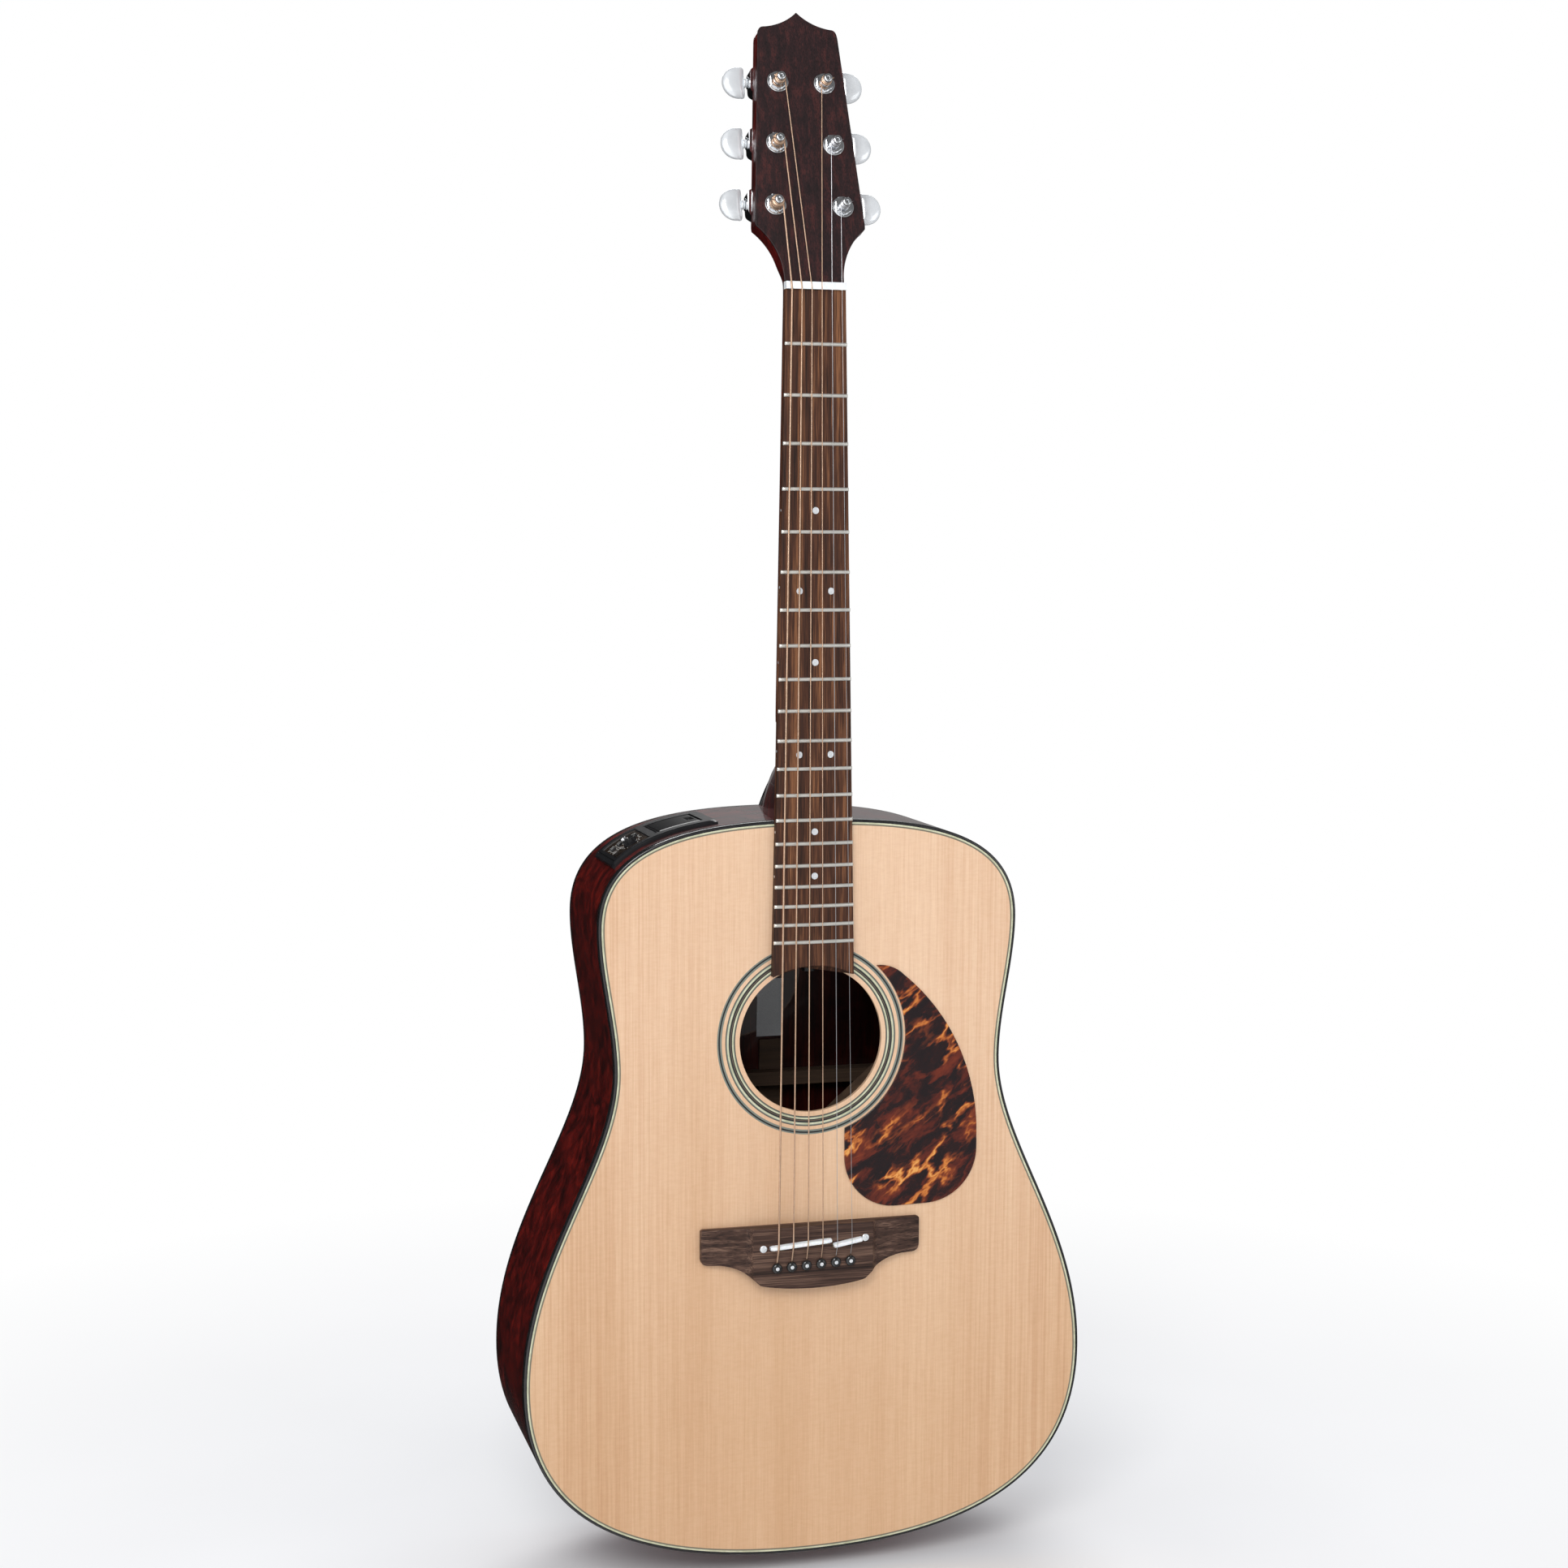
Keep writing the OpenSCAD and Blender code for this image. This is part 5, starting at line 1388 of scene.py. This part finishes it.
# Controls stand this far off the plate, on stems that go through it
CAP_GAP = 0.15
STEM_DEPTH = 5.5


def on_shoulder(s, y, inset=0.0):
    """A frame on the shoulder: local +Z points out of the side, +Y to the back."""
    x, z = rim_point(3, s, inset)
    d = bezier_slope(RIM[3], s)
    return move(-x, y, z) @ Matrix.Rotation(math.atan2(-d.y, -d.x), 4, "Y")


def shoulder_point(s, y, height):
    x, z = rim_point(3, s, -height)
    return Vector((-x, y, z))


def rounded_edge(gap, r):
    """Height lost near an edge that is rounded with radius r, at a gap from it."""
    t = 1 - min(max(gap / r, 0.0), 1.0)
    return r * (1 - math.sqrt(1 - t * t))


def grid_lines(low, high, step, marks):
    """Even lines between two ends, with a close pair at each mark, in order."""
    count = max(2, round((high - low) / step))
    lines = [lerp(low, high, i / count) for i in range(count + 1)]
    lines += [m + d for m, width in marks for d in (-width, width)]
    lines.sort()
    kept = [lines[0]]
    for v in lines[1:]:
        if v - kept[-1] > step * 0.04:
            kept.append(v)
    kept[-1] = high
    return kept


def relief(s_lines, y_lines, height, floor, skip=lambda s, y: False):
    """A moulding on the shoulder: its face at height(s, y) and its underside at a floor height."""
    outer = [[shoulder_point(s, y, height(s, y)) for y in y_lines] for s in s_lines]
    inner = [[shoulder_point(s, y, floor) for y in y_lines] for s in s_lines]
    open_cells = []
    for i in range(len(s_lines) - 1):
        for j in range(len(y_lines) - 1):
            if skip((s_lines[i] + s_lines[i + 1]) / 2, (y_lines[j] + y_lines[j + 1]) / 2):
                open_cells.append((i, j))
    return shell(outer, inner, open_cells)


def preamp_panel():
    """The frame with its groove, plate recess and door opening, and the smoked plate in the recess."""
    thin = 0.1
    s_marks = [(v, thin / MM_PER_S) for v in (GROOVE_S0, GROOVE_S1, PLATE_S0, PLATE_S1, DOOR_S0, DOOR_S1)]
    y_marks = [(v, thin) for v in (PLATE_Y0, PLATE_Y1, DOOR_Y0, DOOR_Y1)]
    corner = 5.0

    def height(s, y):
        along = min(s - PANEL_S0, PANEL_S1 - s) * MM_PER_S
        across = min(y - PANEL_Y0, PANEL_Y1 - y)
        if along < corner and across < corner:
            gap = corner - math.hypot(corner - along, corner - across)
        else:
            gap = min(along, across)
        h = PANEL_PROUD - rounded_edge(gap, 1.3)
        if GROOVE_S0 < s < GROOVE_S1 and across > 4:
            h -= 0.7
        if PLATE_S0 < s < PLATE_S1 and PLATE_Y0 < y < PLATE_Y1:
            h = PLATE_DEPTH
        return max(h, 0.0)

    def in_door(s, y):
        return DOOR_S0 < s < DOOR_S1 and DOOR_Y0 < y < DOOR_Y1

    s_lines = grid_lines(PANEL_S0, PANEL_S1, 1.1 / MM_PER_S, s_marks)
    y_lines = grid_lines(PANEL_Y0, PANEL_Y1, 1.25, y_marks)
    make("preamp_frame", relief(s_lines, y_lines, height, -0.6, in_door), "black", node="preamp_panel",
         angle=38)
    s_plate = grid_lines(PLATE_S0 + 0.003, PLATE_S1 - 0.003, 0.012, [])
    face = relief(s_plate, [PLATE_Y0 + 0.5, PLATE_Y1 - 0.5], lambda s, y: PLATE_FACE, PLATE_DEPTH)
    make("preamp_face", face, "plate", angle=38)


def preamp_print():
    """Level marks beside each slider, and a dial scale and a bronze band round the knob."""
    marks = []
    lift = PLATE_FACE + 0.01
    for _, s in SLIDER_S:
        for j in range(-4, 5):
            far = 3.4 if j % 4 == 0 else 2.5
            place = on_shoulder(s, SLIDER_Y + 2 * j, -lift)
            for x0, x1 in ((-far, -1.5), (1.5, far)):
                marks.append(block(x0, x1, -0.16, 0.16, -PRINT_H, PRINT_H, place))
    dial = on_shoulder(KNOB_S, KNOB_Y, -lift)
    for j in range(11):
        marks.append(block(-0.18, 0.18, 5.9, 6.9, -PRINT_H, PRINT_H, dial @ spin(-140 + 28 * j, "Z")))
    section = ((7.3, -PRINT_H), (7.3, PRINT_H), (7.8, PRINT_H), (7.8, -PRINT_H))
    band = [[dial @ Vector((r * math.sin(a), r * math.cos(a), h)) for r, h in section]
            for a in (math.radians(d) for d in range(-40, 41, 5))]
    make("preamp_scale_marks", join(*marks), "print")
    make("preamp_dial_band", loft(band), "amber")


def battery_door():
    """The door's cushion-edged leaf, its finger latch and its hinge barrel."""
    s0, s1 = HINGE_S + 0.001, DOOR_S1 - 0.004
    y0, y1 = DOOR_Y0 + 0.3, DOOR_Y1 - 0.3
    latch_s0, latch_s1 = s1 - 0.036, s1 - 0.010
    latch_y0, latch_y1 = MID_Y - 7, MID_Y + 7

    def height(s, y):
        gap = min(min(s - s0, s1 - s) * MM_PER_S, y - y0, y1 - y)
        h = PANEL_PROUD - 0.1 - rounded_edge(gap, 0.8)
        if latch_s0 < s < latch_s1 and latch_y0 < y < latch_y1:
            h -= 0.9 * math.sin(math.pi * (s - latch_s0) / (latch_s1 - latch_s0))
        return h

    thin = 0.08
    s_lines = grid_lines(s0, s1, 0.9 / MM_PER_S, [(v, thin / MM_PER_S) for v in (latch_s0, latch_s1)])
    y_lines = grid_lines(y0, y1, 1.3, [(v, thin) for v in (latch_y0, latch_y1)])
    leaf = relief(s_lines, y_lines, height, 0.65)
    length = DOOR_Y1 - DOOR_Y0
    barrel = turned([(0, -0.9), (0.6, -0.9), (0.6, 0.3), (1, 0.3), (1, length - 0.3), (0.6, length - 0.3),
                     (0.6, length + 0.9), (0, length + 0.9)],
                    on_shoulder(HINGE_S, DOOR_Y0, -1.7) @ spin(-90, "X"), 24)
    make("battery_door_leaf", join(leaf, barrel), "gloss", "battery_door", node="battery_door", angle=38)


def sliders():
    """Flat caps with a level line, each on a stem through the plate."""
    corners = [(-1.3, -1.1, 0.7), (1.3, -1.1, 0.7), (1.3, 1.1, 0.7), (-1.3, 1.1, 0.7)]
    for name, s in SLIDER_S:
        body = f"{name}_slider"
        place = on_shoulder(s, SLIDER_Y, -PLATE_DEPTH)
        rings = [[place @ Vector((x, z, h)) for x, z in hull_ring(corners, grow, 32)]
                 for grow, h in [(0, CAP_GAP), (0, 1.9), (-0.3, 2.3), (-0.5, 2.4)]]
        stem = block(-0.65, 0.65, -1.2, 1.2, -STEM_DEPTH, 0.3, place)
        make(f"{body}_cap", join(loft(rings), stem), "gloss", body, node=body, angle=40)
        make(f"{body}_line", block(-1.7, 1.7, -0.16, 0.16, 2.3, 2.46, place), "print", body)


def knob():
    """A ribbed volume knob with a pointer line."""
    place = on_shoulder(KNOB_S, KNOB_Y, -PLATE_DEPTH)
    profile = [(0.4, CAP_GAP), (5.0, CAP_GAP), (5.0, 0.7), (4.7, 1.0), (4.55, 3.9), (4.2, 4.35),
               (3.6, 4.4), (3.2, 4.15), (0.3, 4.1)]
    sides, ribs, rib_h = 96, 24, 0.14
    rings = []
    for r, h in profile:
        ring = []
        for i in range(sides):
            a = TAU * i / sides
            w = r + rib_h * math.cos(ribs * a) if 4.3 < r < 4.9 else r
            ring.append(place @ Vector((w * math.cos(a), w * math.sin(a), h)))
        rings.append(ring)
    stem = turned([(0, -STEM_DEPTH), (1.5, -STEM_DEPTH), (1.5, 0.3), (0, 0.3)], place, 24)
    make("volume_knob_cap", join(loft(rings), stem), "black", "volume_knob", node="volume_knob",
         angle=30)
    make("volume_knob_line", block(-0.22, 0.22, 1.6, 4.4, 4.0, 4.5, place), "print", "volume_knob")


def push_button():
    profile = [(0, -STEM_DEPTH), (2.2, -STEM_DEPTH), (2.2, 0.9), (2.0, 1.25), (1.5, 1.4), (0.9, 1.3),
               (0, 1.22)]
    make("tuner_button_cap", turned(profile, on_shoulder(KNOB_S, BUTTON_Y, -PLATE_DEPTH), 36), "chrome",
         "tuner_button", node="tuner_button")


# ---- Jack and strap button ----
def jack():
    """The end-pin jack: its collar is the tail's strap button, its sleeve runs into the tail block."""
    profile = [(3.25, -12), (3.9, -12), (7.0, -12), (7.5, -11.5), (7.5, -9.2), (7.1, -8.5), (5.6, -7.6),
               (5.4, -7.0), (5.4, -4.6), (5.8, -3.6), (7.6, -2.0), (8.5, -1.3), (8.6, -0.8), (8.6, 0),
               (5.98, 0.1), (5.98, 24), (8.5, 24), (8.5, 27), (5.98, 27), (5.98, 38), (3.25, 38)]
    make("jack_and_end_pin", turned(profile, Matrix(), 56, closed=True), "chrome", node="output_jack",
         angle=40)


def strap_button():
    """The button and its screw on the heel's leaning treble side."""
    place = move(14.2, 6, BODY_LEN + 12) @ spin(HEEL_TAPER, "Z") @ spin(90 - HEEL_RAKE, "Y")
    button = [(1.7, 0), (6.1, 0), (6.5, 0.4), (6.4, 1.2), (4.4, 2.7), (4, 3.4), (4, 6.9), (4.5, 7.8),
              (6.5, 9.3), (6.8, 9.8), (6.7, 10.6), (6.2, 11), (3.4, 11), (1.7, 10.2)]
    screw = [(0, -12), (1.6, -10), (1.6, 9.8), (3.1, 10.6), (3.1, 11.1), (2.2, 11.5), (0, 11.6)]
    make("heel_strap_button", join(turned(button, place, 48, closed=True), turned(screw, place, 32)),
         "chrome", node="strap_button", angle=40)


# ---- CAD pieces that stay, seen through the sound hole or behind the door ----
KEPT = {
    "lining": ["top_lining", "back_lining"],
    "block": ["neck_block", "tail_block"],
    "brace": ["soundboard_braces", "back_braces"],
    "maple": ["bridge_plate"],
    "paper": ["label"],
    "steel": ["truss_rod", "saddle_pickup"],
    "brass": ["battery"],
    "black": ["preamp_case", "wiring", "truss_rod_nut"],
}


def dress_kept_nodes():
    """Gives the CAD pieces that stay their materials, and welds their vertices."""
    for material, names in KEPT.items():
        for name in names:
            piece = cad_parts[name]
            piece.data.materials.clear()
            piece.data.materials.append(M[material])
            weld = piece.modifiers.new("weld", "WELD")
            weld.merge_threshold = 10 * WELD_GAP


# ---- Studio ----
def surroundings():
    """White to the camera; for lighting, soft grey; in reflections, dark on the bass side of the back."""
    world = bpy.data.worlds.new("studio")
    bpy.context.scene.world = world
    world.use_nodes = True
    f = Finish("spare")
    f.tree = world.node_tree
    way = f.node("TexCoord", {}).outputs["Generated"]
    split = f.node("SeparateXYZ", {0: way})
    rays = f.node("LightPath", {})
    behind = f.ramp(f.sum("MULTIPLY_ADD", split.outputs[0], 0.5, 0.5), (0.44, 0.006), (0.55, 0.03),
                    (0.575, 0.08), (0.6, 0.2), (0.68, 0.26))
    before = f.ramp(f.sum("MULTIPLY_ADD", split.outputs[0], 0.5, 0.5), (0.4, 1.0), (0.56, 0.4),
                    (0.7, 0.36))
    high = f.ramp(split.outputs[2], (0.3, 1.0), (0.62, 0.35))
    before = f.blend(1.0, before, high, "MULTIPLY")
    side = f.ramp(f.sum("MULTIPLY_ADD", split.outputs[1], 0.5, 0.5), (0.4, 1.0), (0.6, 0.0))
    mirror = f.blend(side, behind, before)
    light = f.blend(rays.outputs["Is Glossy Ray"], (0.62, 0.63, 0.66, 1), mirror)
    seen = f.blend(rays.outputs["Is Camera Ray"], light, (1, 1, 1, 1))
    sky = world.node_tree.nodes["Background"]
    f.feed(sky.inputs["Color"], seen)
    f.feed(sky.inputs["Strength"], 1.0)


def floor():
    """A pale floor that fades into the white behind it."""
    level = cad_box[0].z - 0.002
    reach = 9.0
    f = Finish("studio_floor", 0.6)
    speckle = f.noise(f.place(), 3, 2, 0.5)
    f.set("Base Color", f.ramp(speckle, (0.3, (0.86, 0.86, 0.86, 1)), (0.7, (0.9, 0.9, 0.9, 1))))
    away = f.radius(f.place(), 0, 1)
    rays = f.node("LightPath", {})
    fade = f.sum("MULTIPLY", f.node("MapRange", {0: away, 1: 0.3, 2: 1.0}).outputs[0],
                 rays.outputs["Is Camera Ray"])
    glow = f.node("Emission", {"Color": (1, 1, 1, 1), "Strength": 1.0})
    both = f.node("MixShader", {0: fade, 1: f.shader.outputs[0], 2: glow.outputs[0]})
    f.feed(f.tree.nodes["Material Output"].inputs["Surface"], both.outputs[0])
    mesh = bpy.data.meshes.new("floor")
    corners = [(-reach, -reach), (reach, -reach), (reach, reach), (-reach, reach)]
    mesh.from_pydata([(x, y, level) for x, y in corners], [], [(0, 1, 2, 3)])
    mesh.materials.append(f.material)
    sheet = bpy.data.objects.new("floor", mesh)
    sheet.visible_glossy = False
    bpy.context.scene.collection.objects.link(sheet)


# Lamps: name, place and side length in metres, power in watts
LAMPS = [("key", (-1.1, -2.3, 2.2), 1.4, 44), ("fill", (2.0, -2.0, 1.0), 1.8, 8),
         ("rim", (0.5, 2.2, 2.4), 1.6, 30)]


def lights():
    """Square soft boxes aimed at the middle of the guitar."""
    for name, spot, size, power in LAMPS:
        data = bpy.data.lights.new(name, "AREA")
        data.shape = "SQUARE"
        data.size = size
        data.energy = power
        lamp = bpy.data.objects.new(name, data)
        lamp.location = spot
        aim = Vector((0, 0, 0.5)) - Vector(spot)
        lamp.rotation_mode = "QUATERNION"
        lamp.rotation_quaternion = aim.to_track_quat("-Z", "Y")
        bpy.context.scene.collection.objects.link(lamp)


# The camera: where it stands, how it is turned, its lens and its optical centre in frame widths
EYE = (-0.4851, -1.7099, 0.7118)
PAN, PITCH, ROLL = -14.83, 5.87, 0.2
FOCAL = 3105.4 / 1932
CENTRE = (915.3 / 1932, 981.4 / 1932)
SENSOR = 36


def camera():
    data = bpy.data.cameras.new("camera")
    data.sensor_width = SENSOR
    data.lens = SENSOR * FOCAL
    data.shift_x = 0.5 - CENTRE[0]
    data.shift_y = CENTRE[1] - 0.5
    axes = Matrix(((1, 0, 0), (0, 0, -1), (0, 1, 0))).to_4x4()
    aim = spin(ROLL, "Z") @ spin(PITCH, "X") @ spin(PAN, "Y") @ axes
    eye = bpy.data.objects.new("camera", data)
    eye.matrix_world = move(*EYE) @ aim.transposed() @ Matrix.Diagonal((1, -1, -1, 1))
    bpy.context.scene.collection.objects.link(eye)
    bpy.context.scene.camera = eye


def main():
    for build in (soundboard, trim, rosette, sides, back_plate, neck, heel_cap, veneer, fingerboard,
                  frets, dots, strings, nut, bridge, saddles, pins_and_dots, pickguard, housings,
                  bushings, posts, keys, preamp_panel, preamp_print, battery_door, sliders, knob,
                  push_button, jack, strap_button, dress_kept_nodes, surroundings, floor, lights, camera):
        build()
    bpy.context.scene.view_settings.view_transform = "Standard"


main()
